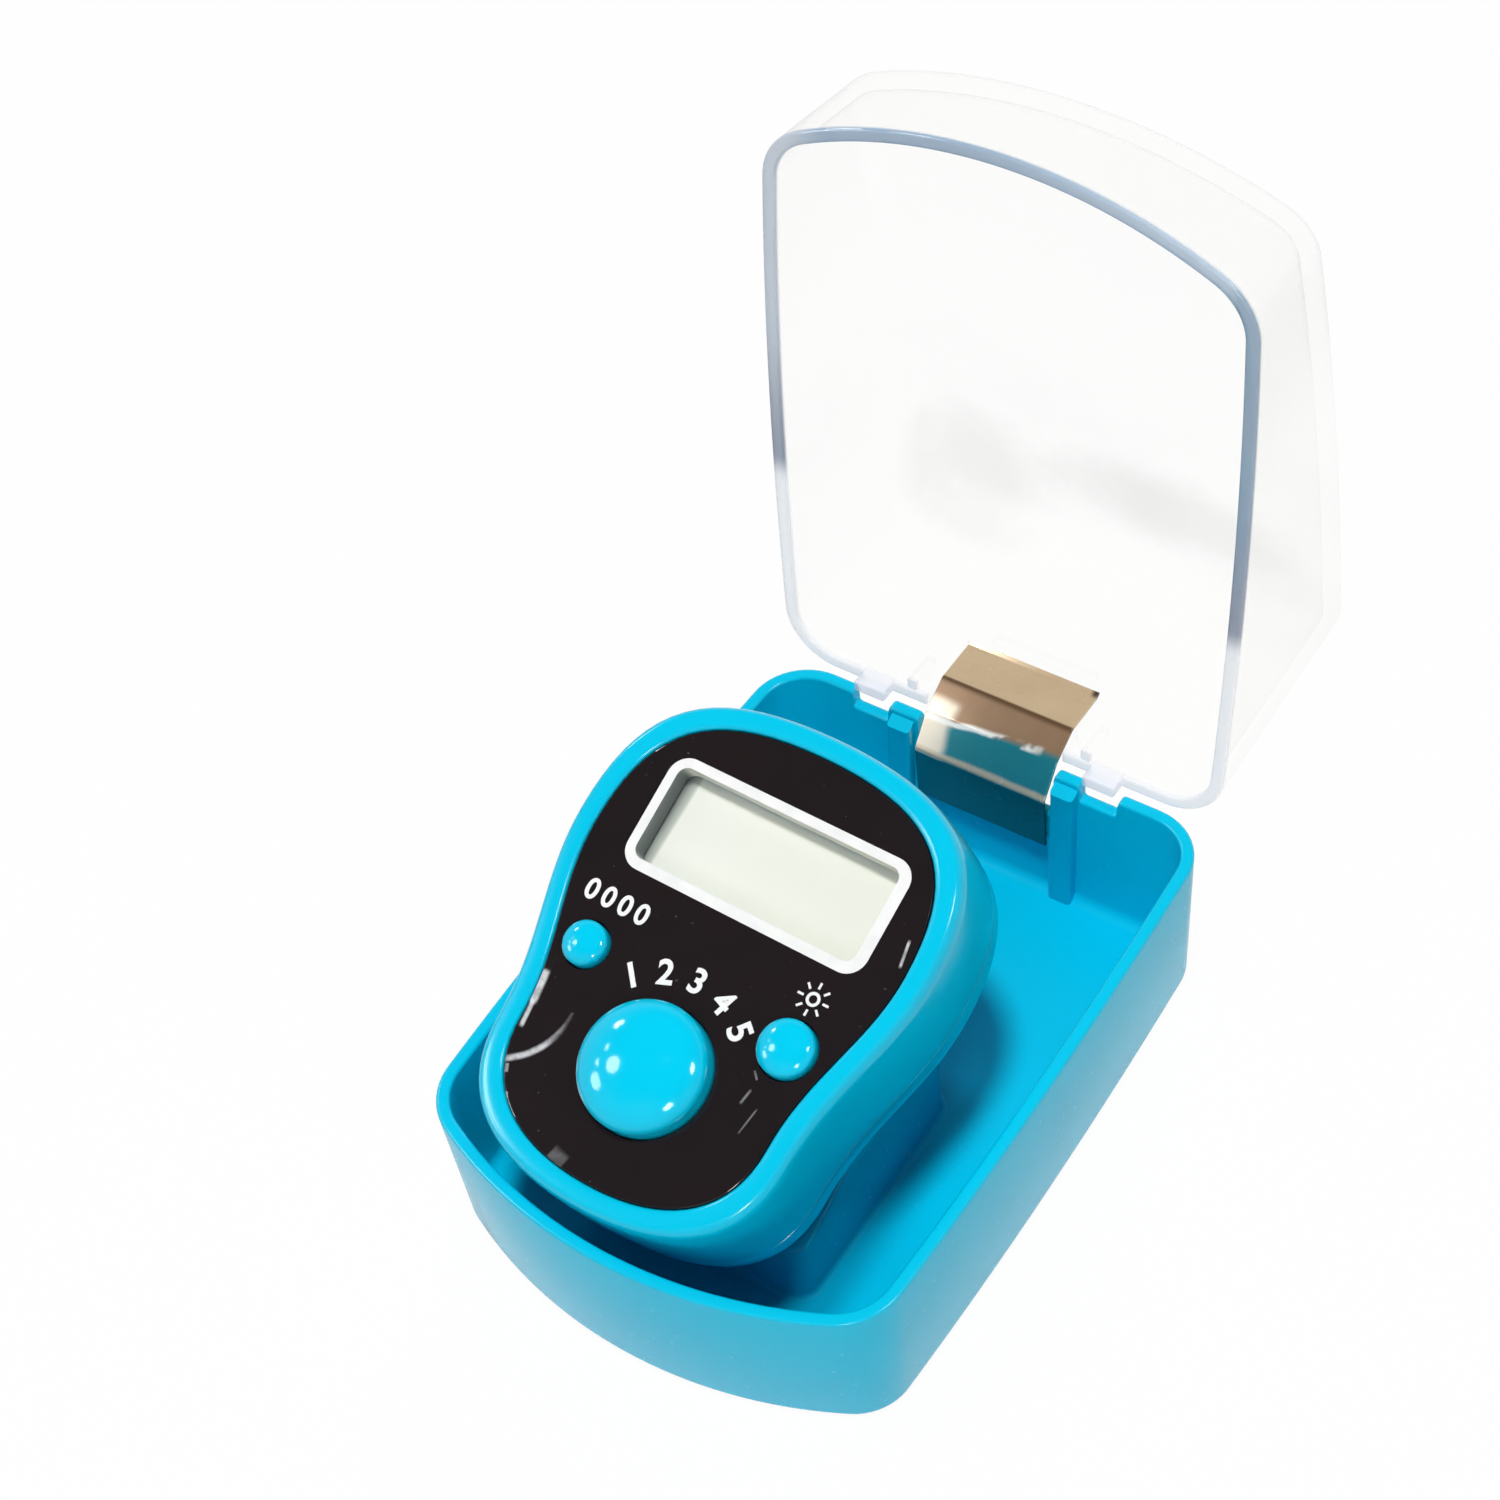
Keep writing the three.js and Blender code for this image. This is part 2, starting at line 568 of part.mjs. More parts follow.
function batteryDoor() {
  const plate = doorPlate(0, -BODY_THICKNESS, -BODY_THICKNESS + DOOR_THICKNESS);
  const [x, y] = CELL_PLACE;
  const grip = box(DOOR_WIDTH / 3, GRIP_WIDTH, -BODY_THICKNESS - 1, -BODY_THICKNESS + DOOR_THICKNESS / 2);
  const grips = [-1, 0, 1].map((row) => grip.translate(x, y + row * GRIP_WIDTH * 2, 0));
  return cut(plate, ...grips);
}

function screw(place) {
  const low = -BODY_THICKNESS + GAP;
  const top = low + SCREW_HEAD_HEIGHT;
  const profile = [
    [0, low], [SCREW_HEAD_RADIUS * 0.8, low],
    [SCREW_HEAD_RADIUS, low + SCREW_HEAD_HEIGHT * 0.4], [SCREW_HEAD_RADIUS, top],
    [SCREW_RADIUS, top], [SCREW_RADIUS, top + SCREW_LENGTH * 0.85], [0, top + SCREW_LENGTH],
  ];
  const slot = (width, length) => box(width, length, low - 1, low + SCREW_HEAD_HEIGHT / 2, ...place);
  const [long, narrow] = [SCREW_RADIUS * 2, SCREW_RADIUS * 0.4];
  return cut(turned(profile, place, 16), slot(long, narrow), slot(narrow, long));
}

// Button with a domed cap, a flange that stops it under the deck and a stem over its switch.
function button({ radius, place, height }) {
  const shoulder = height * 0.3;
  const flangeTop = DECK_BOTTOM - GAP;
  const flangeBottom = flangeTop - FLANGE_THICKNESS;
  const stemEnd = -BOARD_DEPTH + GAP + SWITCH_HEIGHT + BUTTON_TRAVEL + GAP;
  const dome = Array.from({ length: 8 }, (_, i) => {
    const angle = (i / 8) * (Math.PI / 2);
    return [radius * Math.cos(angle), shoulder + (height - shoulder) * Math.sin(angle)];
  });
  const profile = [
    [0, stemEnd], [STEM_RADIUS, stemEnd], [STEM_RADIUS, flangeBottom], [radius + BUTTON_FLANGE, flangeBottom],
    [radius + BUTTON_FLANGE, flangeTop], [radius, flangeTop], ...dome, [0, height],
  ];
  return turned(profile, place);
}

// Low round switch on the board, domed on top.
function domeSwitch({ place }) {
  const low = -BOARD_DEPTH + GAP;
  const profile = [
    [0, low], [SWITCH_RADIUS, low], [SWITCH_RADIUS, low + SWITCH_HEIGHT * 0.5],
    [SWITCH_RADIUS * 0.6, low + SWITCH_HEIGHT * 0.85], [0, low + SWITCH_HEIGHT],
  ];
  return turned(profile, place, 20);
}

const displaySize = [WINDOW_WIDTH + DISPLAY_MARGIN, WINDOW_HEIGHT + 2 * DISPLAY_MARGIN];
const displayTop = DECK_BOTTOM - GAP;
const displayBottom = displayTop - DISPLAY_THICKNESS;
const connectorPlace = WINDOW_PLACE - displaySize[1] / 2 + CONNECTOR_WIDTH / 2;

const displayGlass = () => box(...displaySize, displayBottom, displayTop, 0, WINDOW_PLACE);

function lightGuide() {
  const length = displaySize[1] - CONNECTOR_WIDTH - GAP;
  const middle = WINDOW_PLACE + displaySize[1] / 2 - length / 2;
  return box(displaySize[0], length, displayBottom - GAP - GUIDE_THICKNESS, displayBottom - GAP, 0, middle);
}

const rubberConnector = () => box(
  WINDOW_WIDTH, CONNECTOR_WIDTH, -BOARD_DEPTH + GAP, displayBottom - GAP, 0, connectorPlace,
);

function lamp() {
  const [width, length, height] = LAMP_SIZE;
  const low = -BOARD_DEPTH + GAP;
  return box(width, length, low, low + height, -displaySize[0] / 2 - GAP - width / 2, WINDOW_PLACE);
}

function circuitBoard() {
  const plate = slab(INSIDE_GROW - GAP * 3, -BOARD_DEPTH - BOARD_THICKNESS, -BOARD_DEPTH);
  const room = (place) => cylinder(BOSS_RADIUS + GAP, -BOARD_DEPTH * 2, 0, place, 20);
  return cut(plate, ...Object.values(SCREW_PLACES).map(room));
}

function controllerChip() {
  const top = -BOARD_DEPTH - BOARD_THICKNESS - GAP;
  const profile = Array.from({ length: 6 }, (_, i) => {
    const angle = (i / 6) * (Math.PI / 2);
    return [CHIP_RADIUS * Math.cos(angle), top - CHIP_HEIGHT * Math.sin(angle)];
  });
  return turned([[0, top - CHIP_HEIGHT], ...profile.reverse(), [0, top]], CHIP_PLACE, 20);
}

const cellTop = -BOARD_DEPTH - BOARD_THICKNESS - CONTACT_THICKNESS - GAP * 2;

function buttonCell() {
  const low = cellTop - CELL_THICKNESS;
  const profile = [
    [0, low], [CELL_RADIUS - 1, low], [CELL_RADIUS - 0.8, low + 0.3], [CELL_RADIUS - 0.2, low + 0.3],
    [CELL_RADIUS, low + 0.6], [CELL_RADIUS, cellTop], [0, cellTop],
  ];
  return turned(profile, CELL_PLACE);
}

// Strip between the board and the cell's can, bent down along its side.
function positiveContact() {
  const edge = CELL_PLACE[1] - CELL_RADIUS - GAP - CONTACT_THICKNESS / 2;
  const height = cellTop + GAP + CONTACT_THICKNESS / 2;
  const line = [[CELL_PLACE[1], height], [edge, height], [edge, cellTop - CELL_THICKNESS * 0.8]];
  return bentSheet(line, CONTACT_THICKNESS, CONTACT_WIDTH, 0.4);
}

// Strip under the cell, its far end turned up to the board.
function negativeContact() {
  const height = cellTop - CELL_THICKNESS - GAP - CONTACT_THICKNESS / 2;
  const edge = CELL_PLACE[1] + CELL_RADIUS + GAP + CONTACT_THICKNESS / 2;
  const line = [
    [CELL_PLACE[1] - CELL_RADIUS / 2, height],
    [edge, height],
    [edge, -BOARD_DEPTH - BOARD_THICKNESS - GAP],
  ];
  return bentSheet(line, CONTACT_THICKNESS, CONTACT_WIDTH, 0.4);
}

// Place of a point of the counter's underside in the case frame, a distance along the counter.
function undersidePoint(v) {
  const reach = FACE_LENGTH / 2 + RIM_WIDTH;
  const faceHeight = BASE_HEIGHT + FRONT_END_LIFT + reach * Math.sin(TILT);
  return {
    y: COUNTER_SPOT[1] + BODY_THICKNESS * Math.sin(TILT) + v * Math.cos(TILT),
    z: faceHeight - BODY_THICKNESS * Math.cos(TILT) + v * Math.sin(TILT),
  };
}

// Turns a [y, z] point of the case frame into the counter's own frame.
function inCounter([y, z]) {
  const middle = undersidePoint(0);
  const [dy, dz] = [y - middle.y, z - middle.z];
  const along = dy * Math.cos(TILT) + dz * Math.sin(TILT);
  return [along, dz * Math.cos(TILT) - dy * Math.sin(TILT) - BODY_THICKNESS];
}

// Hook inside the back shell that keeps a strap half in its slot.
const strapHook = (v) => box(
  STRAP_WIDTH + STRAP_THICKNESS, STRAP_THICKNESS * 2,
  BACK_INSIDE + GAP, BACK_INSIDE + GAP + STRAP_HOOK, 0, v,
);

// Start of a strap half: from its hook down through the slot.
const strapStart = (v) => [[v, BACK_INSIDE + GAP + STRAP_HOOK / 2], [v, -BODY_THICKNESS - GAP * 2]];

const strapFloor = BASE_FLOOR + GAP + STRAP_THICKNESS / 2;
const tongueFloor = strapFloor + STRAP_THICKNESS + GAP;
const pocketFront = STAND_FRONT + STAND_WALL;
const pocketBack = STAND_FRONT + STAND_LENGTH - STAND_WALL;
const buckleEnd = (pocketFront + pocketBack) / 2 + BUCKLE_LENGTH;

// Front half: down the front of the pocket, back along the floor, and the buckle at its end.
function strapBuckle() {
  const front = pocketFront + STRAP_THICKNESS;
  const bent = [
    [front, strapFloor + STRAP_BEND * 2],
    [front + STRAP_BEND / 2, strapFloor],
    [buckleEnd, strapFloor],
  ];
  const path = [...strapStart(STRAP_FRONT_SLOT), ...bent.map(inCounter)];
  const band = bentSheet(path, STRAP_THICKNESS, STRAP_WIDTH, STRAP_BEND);
  return join(band, strapHook(STRAP_FRONT_SLOT), buckle());
}

// Loop on the strap's end that the tongue passes through.
function buckle() {
  const high = tongueFloor + STRAP_THICKNESS * 1.5 + GAP * 2;
  const start = buckleEnd - BUCKLE_LENGTH;
  const loop = [[start, strapFloor], [buckleEnd, strapFloor], [buckleEnd, high], [start, high]];
  const way = [[start - BUCKLE_LENGTH, tongueFloor], [buckleEnd + BUCKLE_LENGTH, tongueFloor]];
  const opening = bentSheet(way.map(inCounter), STRAP_THICKNESS + 2 * GAP, TONGUE_WIDTH + 2 * GAP);
  return cut(drawnAcross(outlined(loop.map(inCounter)), STRAP_WIDTH), opening);
}

// Back half: down the back of the pocket and forward through the buckle, with a row of holes.
function strapTongue() {
  const back = pocketBack - STRAP_THICKNESS;
  const tip = pocketFront + STRAP_THICKNESS * 4;
  const bent = [
    [back, tongueFloor + STRAP_BEND * 2.5],
    [back - STRAP_BEND / 2, tongueFloor],
    [tip, tongueFloor],
  ];
  const path = [...strapStart(STRAP_BACK_SLOT), ...bent.map(inCounter)];
  const narrow = bentSheet(path, STRAP_THICKNESS, TONGUE_WIDTH, STRAP_BEND);
  const wide = bentSheet(path.slice(0, 3), STRAP_THICKNESS, STRAP_WIDTH, STRAP_BEND);
  return cut(join(narrow, wide, strapHook(STRAP_BACK_SLOT)), ...tongueHoles(tip));
}

function tongueHoles(tip) {
  return Array.from({ length: TONGUE_HOLES }, (_, i) => {
    const [v, n] = inCounter([tip + TONGUE_PITCH * (i + 0.8), tongueFloor]);
    const pin = new THREE.CylinderGeometry(TONGUE_HOLE_RADIUS, TONGUE_HOLE_RADIUS, STRAP_THICKNESS * 2, 10);
    return solid(pin.rotateX(Math.PI / 2 - TILT).translate(0, v, n));
  });
}

const model = new THREE.Group();

function add(name, body, material, parent = model) {
  const mesh = new THREE.Mesh(surface(body), material);
  mesh.name = name;
  parent.add(mesh);
}

add('case_base', caseBase(), cyanPlastic);
add('hinge_spring', hingeSpring(), springSteel);

const lid = new THREE.Group();
lid.position.set(...HINGE);
lid.rotation.x = THREE.MathUtils.degToRad(-LID_OPEN_ANGLE);
add('case_lid', caseLid(), clearPlastic, lid);

const counter = new THREE.Group();
counter.position.set(COUNTER_SPOT[0], COUNTER_SPOT[1], undersidePoint(0).z + BODY_THICKNESS * Math.cos(TILT));
counter.rotation.set(TILT, 0, THREE.MathUtils.degToRad(COUNTER_TURN), 'ZXY');
add('front_shell', frontShell(), cyanPlastic, counter);
add('back_shell', backShell(), cyanPlastic, counter);
add('face_film', faceFilm(), faceInk, counter);
add('display_window', displayWindow(), clearPlastic, counter);
add('display_glass', displayGlass(), displayGrey, counter);
add('light_guide', lightGuide(), guideWhite, counter);
add('lamp', lamp(), lampWhite, counter);
add('rubber_connector', rubberConnector(), rubber, counter);
add('circuit_board', circuitBoard(), boardGreen, counter);
add('controller_chip', controllerChip(), epoxy, counter);
add('button_cell', buttonCell(), steel, counter);
add('positive_contact', positiveContact(), gold, counter);
add('negative_contact', negativeContact(), gold, counter);
add('battery_door', batteryDoor(), cyanPlastic, counter);
add('strap_buckle', strapBuckle(), cyanPlastic, counter);
add('strap_tongue', strapTongue(), cyanPlastic, counter);
for (const [name, sizes] of Object.entries(buttons)) {
  add(name, button(sizes), cyanPlastic, counter);
  add(name.replace('button', 'switch'), domeSwitch(sizes), steel, counter);
}
for (const [name, place] of Object.entries(SCREW_PLACES)) add(`screw_${name}`, screw(place), steel, counter);
model.add(lid, counter);

export default model;
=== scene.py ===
# A digital finger counter, tilted on the stand of its small display case, with the clear lid open.
# Metres. The case stands on z = 0, its hinge side is at +Y and its bowed front at -Y.
import math

import bmesh
import bpy
from mathutils import Matrix, Vector


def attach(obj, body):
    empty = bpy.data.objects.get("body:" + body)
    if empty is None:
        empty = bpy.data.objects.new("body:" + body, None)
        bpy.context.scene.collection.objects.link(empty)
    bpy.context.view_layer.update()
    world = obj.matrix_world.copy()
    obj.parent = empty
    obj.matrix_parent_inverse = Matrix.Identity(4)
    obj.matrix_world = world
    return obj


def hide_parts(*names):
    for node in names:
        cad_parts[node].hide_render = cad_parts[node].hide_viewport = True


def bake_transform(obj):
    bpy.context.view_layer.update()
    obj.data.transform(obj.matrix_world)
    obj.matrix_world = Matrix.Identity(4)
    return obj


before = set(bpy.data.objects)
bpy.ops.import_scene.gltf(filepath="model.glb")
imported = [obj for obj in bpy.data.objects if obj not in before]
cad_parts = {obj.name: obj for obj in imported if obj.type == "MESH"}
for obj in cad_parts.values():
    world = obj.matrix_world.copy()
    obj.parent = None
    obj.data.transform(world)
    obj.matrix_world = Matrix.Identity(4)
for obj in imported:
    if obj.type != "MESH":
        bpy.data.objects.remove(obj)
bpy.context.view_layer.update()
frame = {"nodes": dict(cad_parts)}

# ----------------------------------------
# The picture was taken from the front right, looking down with a long lens, close enough for the
# tray's near corner to look larger than its hinge side. The camera holds that place.
def placed(name, data):
    """An object in the scene that shows the data."""
    made = bpy.data.objects.new(name, data)
    bpy.context.scene.collection.objects.link(made)
    return made


camera = placed("camera", bpy.data.cameras.new("camera"))
bpy.context.scene.camera = camera
bpy.context.scene.view_settings.view_transform = "Standard"
camera.data.lens = 77.18
camera.data.sensor_width = 36
camera.data.clip_start = 0.005
ahead = Vector((-0.4081, 0.5128, -0.7553))
overhead = Vector((-0.3640, 0.6673, 0.6497))
aim = Matrix((ahead.cross(overhead), overhead, -ahead)).transposed().to_4x4()
camera.matrix_world = Matrix.Translation((0.09062, -0.11726, 0.21397)) @ aim


# ----------------------------------------
# The case stands on a white table in a white room with a dim ceiling, which is what the glossy
# face mirrors. Four lamps light it; the rest only show as small bright spots on the buttons.
def operator(operation, swapped=False):
    """A method of Flow that adds one Math node, its two values swapped for a reflected operator."""
    return lambda self, other: self.maths(operation, *((other, self) if swapped else (self, other)))


class Flow:
    """What leaves one node. Python's operators on it add Math nodes to the same tree."""

    __add__, __radd__ = operator("ADD"), operator("ADD", True)
    __sub__, __rsub__ = operator("SUBTRACT"), operator("SUBTRACT", True)
    __mul__, __rmul__ = operator("MULTIPLY"), operator("MULTIPLY", True)
    __truediv__, __rtruediv__ = operator("DIVIDE"), operator("DIVIDE", True)
    __pow__, __gt__, __lt__ = operator("POWER"), operator("GREATER_THAN"), operator("LESS_THAN")

    def __init__(self, wiring, socket):
        self.wiring, self.socket = wiring, socket

    def maths(self, operation, *values, clamp=False):
        settings = {"operation": operation, "use_clamp": clamp}
        return self.wiring.node("ShaderNodeMath", settings, dict(enumerate(values)))

    def __abs__(self):
        return self.maths("ABSOLUTE", self)

    def clipped(self):
        return self.maths("ADD", self, 0.0, clamp=True)


class Wiring:
    """A node tree and the one way to add a node to it."""

    def __init__(self, tree):
        self.tree = tree

    def node(self, kind, settings=None, sockets=None, out=0):
        made = self.tree.nodes.new(kind)
        for name, value in (settings or {}).items():
            setattr(made, name, value)
        self.fill(made, sockets or {})
        return Flow(self, made.outputs[out]) if len(made.outputs) else made

    def fill(self, made, sockets):
        for name, value in sockets.items():
            if isinstance(value, Flow):
                self.tree.links.new(value.socket, made.inputs[name])
            else:
                made.inputs[name].default_value = value

    def mix(self, share, first, second):
        return self.node("ShaderNodeMix", {"data_type": "RGBA"}, {0: share, 6: first, 7: second}, out=2)

    def ramped(self, value, low, high, start=0.0, end=1.0):
        """Runs smoothly from start to end while value runs from low to high."""
        sockets = {0: value, 1: low, 2: high, 3: start, 4: end}
        return self.node("ShaderNodeMapRange", {"interpolation_type": "SMOOTHSTEP"}, sockets)

    def ray(self, kind):
        return self.node("ShaderNodeLightPath", out=kind)


def seen_white(wiring):
    """1 for what the camera sees straight, in a mirror or through clear plastic."""
    seen = wiring.ray("Is Camera Ray") + wiring.ray("Is Glossy Ray") + wiring.ray("Is Transmission Ray")
    return seen.clipped()


room = bpy.data.worlds.new("white room")
bpy.context.scene.world = room
room.use_nodes = True
room.node_tree.nodes.clear()
air = Wiring(room.node_tree)
heading = air.node("ShaderNodeTexCoord", out="Generated")
height = air.node("ShaderNodeSeparateXYZ", sockets={0: heading}, out="Z")
ceiling = air.ramped(height, 0.25, 0.75, 0.95, 0.1)
glossy = air.ray("Is Glossy Ray")
straight = (air.ray("Is Camera Ray") + air.ray("Is Transmission Ray")).clipped()
skylight = air.ramped(height, 0.0, 1.0, 0.08, 0.26)
level = straight + (1 - straight) * (glossy * ceiling + (1 - glossy) * skylight)
light = air.node("ShaderNodeBackground", sockets={"Color": (1, 1, 1, 1), "Strength": level})
air.node("ShaderNodeOutputWorld", sockets={"Surface": light})

TABLE_RADIUS, TABLE_DROP, TABLE_SIDES = 1.5, 0.00005, 32
table_mesh = bpy.data.meshes.new("table")
turns = [side / TABLE_SIDES * math.tau for side in range(TABLE_SIDES)]
rim = [(TABLE_RADIUS * math.cos(a), TABLE_RADIUS * math.sin(a), -TABLE_DROP) for a in turns]
table_mesh.from_pydata(rim, [], [tuple(range(TABLE_SIDES))])
table = placed("table", table_mesh)
white = bpy.data.materials.new("white table")
white.use_nodes = True
white.node_tree.nodes.clear()
TABLE_SHARE_SEEN_WHITE = 0.96
paper = Wiring(white.node_tree)
lit = paper.node("ShaderNodeBsdfPrincipled", sockets={"Base Color": (0.8, 0.8, 0.8, 1), "Roughness": 0.6})
bright = paper.node("ShaderNodeEmission", sockets={"Color": (1, 1, 1, 1), "Strength": 1.0})
both = paper.node("ShaderNodeMixShader", sockets={
    0: seen_white(paper) * TABLE_SHARE_SEEN_WHITE, 1: lit, 2: bright})
paper.node("ShaderNodeOutputMaterial", sockets={"Surface": both})
table_mesh.materials.append(white)
LAMP_DISTANCE = 0.9


def lamp(name, towards, size, watts, mirrored=True):
    """A round lamp that is only seen in glossy surfaces, or only lights them."""
    data = bpy.data.lights.new(name, "AREA")
    data.shape, data.size, data.energy = "DISK", size, watts
    made = placed(name, data)
    made.visible_diffuse, made.visible_glossy = not mirrored, mirrored
    spot = Vector(towards).normalized()
    made.matrix_world = spot.to_track_quat("Z", "Y").to_matrix().to_4x4()
    made.location = spot * LAMP_DISTANCE


lamp("top lamp", (0.06, -0.13, 0.98), 0.14, 5.5, mirrored=False)
lamp("front lamp", (0.1, -0.8, 0.58), 0.4, 1.3, mirrored=False)
lamp("side lamp", (0.8, -0.25, 0.45), 0.4, 0.6, mirrored=False)
lamp("back lamp", (-0.25, 0.85, 0.46), 0.4, 1.3, mirrored=False)
lamp("left lamp near", (-0.61, -0.40, 0.69), 0.19, 2.2)
lamp("left lamp far", (-0.80, 0.14, 0.58), 0.13, 1.4)
lamp("left lamp low", (-0.75, -0.56, 0.35), 0.22, 2.2)
lamp("small left lamp", (-0.81, -0.36, 0.47), 0.07, 0.3)
lamp("small far lamp", (-0.775, -0.19, 0.60), 0.07, 0.25)
lamp("right lamp", (0.58, -0.66, 0.475), 0.2, 4)
lamp("right lamp far", (0.65, 0.14, 0.75), 0.2, 4)


# ----------------------------------------
# Case tray: the lower half of the case, one injection moulding in glossy cyan polystyrene with
# thin tapered walls, a bowed front, notches for the lid's lugs and the leaf, and a hollow stand.
class Finish(Wiring):
    """A material: numbers for its main shader, and nodes for what varies over it."""

    def __init__(self, name, **numbers):
        self.material = bpy.data.materials.new(name)
        self.material.use_nodes = True
        super().__init__(self.material.node_tree)
        self.main = self.tree.nodes["Principled BSDF"]
        self.vary({name.replace("_", " "): value for name, value in numbers.items()})

    def vary(self, sockets):
        self.fill(self.main, sockets)

    def layered(self, tone, *layers):
        """Lays further tones over the first, each over the share of the surface given with it."""
        for share, over in layers:
            tone = self.mix(share, tone, over)
        return tone

    def place(self):
        return self.node("ShaderNodeTexCoord", out="Object")

    def cloud(self, size, detail):
        """Noise from 0 to 1 whose patches are about size millimetres across."""
        sockets = {"Vector": self.place(), "Scale": 1000 / size, "Detail": detail}
        return self.node("ShaderNodeTexNoise", sockets=sockets)

    def relief(self, height, depth):
        """Bumps of a depth in millimetres."""
        sockets = {"Height": height, "Distance": depth * 0.001}
        self.vary({"Normal": self.node("ShaderNodeBump", sockets=sockets)})


def colour(red, green, blue):
    """A colour from the 0 to 255 values that it shows on a screen."""
    shown = (red, green, blue)
    return tuple(((v / 255 + 0.055) / 1.055) ** 2.4 if v > 10 else v / 3295 for v in shown) + (1,)


def moulded(name, tone, roughness, ripple=0.002):
    """Glossy moulded plastic: faint flow clouds, a slight ripple and fine rubbed spots."""
    finish = Finish(name, Roughness=roughness, Specular_IOR_Level=0.22)
    flow = finish.cloud(9, 3)
    rubbed = finish.ramped(finish.cloud(0.7, 5), 0.55, 0.8)
    darker = tuple(v * 0.93 for v in tone[:3]) + (1,)
    finish.vary({"Base Color": finish.mix(flow, tone, darker)})
    finish.vary({"Roughness": roughness + flow * 0.05 + rubbed * 0.04})
    finish.relief(finish.cloud(2.4, 1), ripple)
    return finish


def arc(x, y, radius, start, end, steps):
    turns = [start + (end - start) * i / steps for i in range(steps + 1)]
    return [(x + radius * math.cos(a), y + radius * math.sin(a)) for a in turns]


def bezier(a, b, c, d, steps):
    shares = [i / steps for i in range(steps + 1)]
    weights = [((1 - t) ** 3, 3 * t * (1 - t) ** 2, 3 * t * t * (1 - t), t ** 3) for t in shares]
    return [tuple(sum(w * p[k] for w, p in zip(row, (a, b, c, d))) for k in (0, 1)) for row in weights]


def rounded_rectangle(width, length, radius, middle=(0, 0), steps=6):
    x, y = width / 2 - radius, length / 2 - radius
    corners = [(x, y, 0), (-x, y, 1), (-x, -y, 2), (x, -y, 3)]
    quarter = math.pi / 2
    return [
        (middle[0] + p, middle[1] + q)
        for a, b, turn in corners
        for p, q in arc(a, b, radius, turn * quarter, (turn + 1) * quarter, steps)
    ]


def loft(rings, closed=False):
    """Joins rings of equally many points. The ends get a face each, or are joined as well."""
    count = len(rings[0])
    points = [point for ring in rings for point in ring]
    faces = []
    for r in range(len(rings) if closed else len(rings) - 1):
        low, high = r * count, (r + 1) % len(rings) * count
        faces += [(low + i, low + (i + 1) % count, high + (i + 1) % count, high + i) for i in range(count)]
    if not closed:
        faces += [tuple(reversed(range(count))), tuple(range(len(points) - count, len(points)))]
    return points, faces


def together(*shapes):
    points, faces = [], []
    for some_points, some_faces in shapes:
        faces += [tuple(i + len(points) for i in face) for face in some_faces]
        points += some_points
    return points, faces


def quarter_turn(steps=5):
    """Sines and cosines for a rounded edge."""
    return [(math.sin(i / steps * math.pi / 2), math.cos(i / steps * math.pi / 2)) for i in range(steps + 1)]


CREASE, SHELL_CREASE, STRIP_CREASE = 32, 28, 40
LARGE_FACE = 4e-6


def soften(mesh, crease=CREASE):
    """Smooth shading between creases; the large flat faces keep their own normals."""
    mesh.shade_smooth()
    mesh.set_sharp_from_angle(angle=math.radians(crease))
    for face in mesh.polygons:
        if len(face.vertices) > 4 and face.area > LARGE_FACE:
            face.use_smooth = False


def piece(name, shape, finish, place=Matrix()):
    """A closed mesh in metres from points in millimetres, its edges sharp above the crease angle."""
    mesh = bpy.data.meshes.new(name)
    mesh.from_pydata([place @ Vector(point) * 0.001 for point in shape[0]], [], shape[1])
    work = bmesh.new()
    work.from_mesh(mesh)
    bmesh.ops.remove_doubles(work, verts=work.verts, dist=1e-7)
    bmesh.ops.recalc_face_normals(work, faces=work.faces)
    work.to_mesh(mesh)
    work.free()
    soften(mesh)
    if finish:
        mesh.materials.append(finish.material)
    return placed(name, mesh)


def finished_mesh(made):
    """The mesh of an object as its modifiers leave it."""
    graph = bpy.context.evaluated_depsgraph_get()
    return bpy.data.meshes.new_from_object(made.evaluated_get(graph))


def settled(made, body, slot, *nodes):
    """Lets a finished piece ride on its body in place of its CAD solids."""
    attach(made, body)
    if nodes:
        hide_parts(*nodes)


def case_axes(finish):
    """Places on the case in its own millimetres: across, towards the hinge, and up."""
    return [finish.node("ShaderNodeSeparateXYZ", sockets={0: finish.place()}, out=axis) * 1000 for axis in "XYZ"]


CASE_LENGTH, CASE_WIDTH, CASE_WALL = 57, 40.5, 1.1
FRONT_BOW, SIDE_BOW = 5.6, 0.45
BACK_CORNER, FRONT_CORNER = 5, 5.7
SIDE_STEPS, BACK_STEPS, FRONT_STEPS, BOW_STEPS = 14, 12, 10, 40
TRAY_HEIGHT, TRAY_FLOOR, TRAY_TAPER, TRAY_SIDE_TAPER, TRAY_EDGE = 14.8, 1.2, 0.9, 0.35, 0.8
RIM_ROUND, NOTCH_ROUND, NOTCH_LEAN, COVE_ROUND = 0.3, 0.35, 0.03, 1
LUG_PLACES, LUG_NOTCH = (10.2, -11.2), (3.5, 1.7)
LEAF_MIDDLE, LEAF_NOTCH = -0.25, (12.8, 4.8)
STAND_WIDTH, STAND_FRONT, STAND_LENGTH, STAND_WALL = 19.4, -17.5, 21.3, 1.2
STAND_CORNER, STAND_FOOT, STAND_EDGE, STAND_PLAY = 1.6, 0.5, 0.25, 0.45
RIB_WIDTH, RIB_SHIFT, RIB_CORNER, RIB_TOP, RIB_SPACING = 2.1, -0.33, 0.3, 13.9, 0.01535
SUNK = 0.3
COUNTER_TILT = math.radians(23.5)
COUNTER_BACK = (-3.5555, 13.8636)


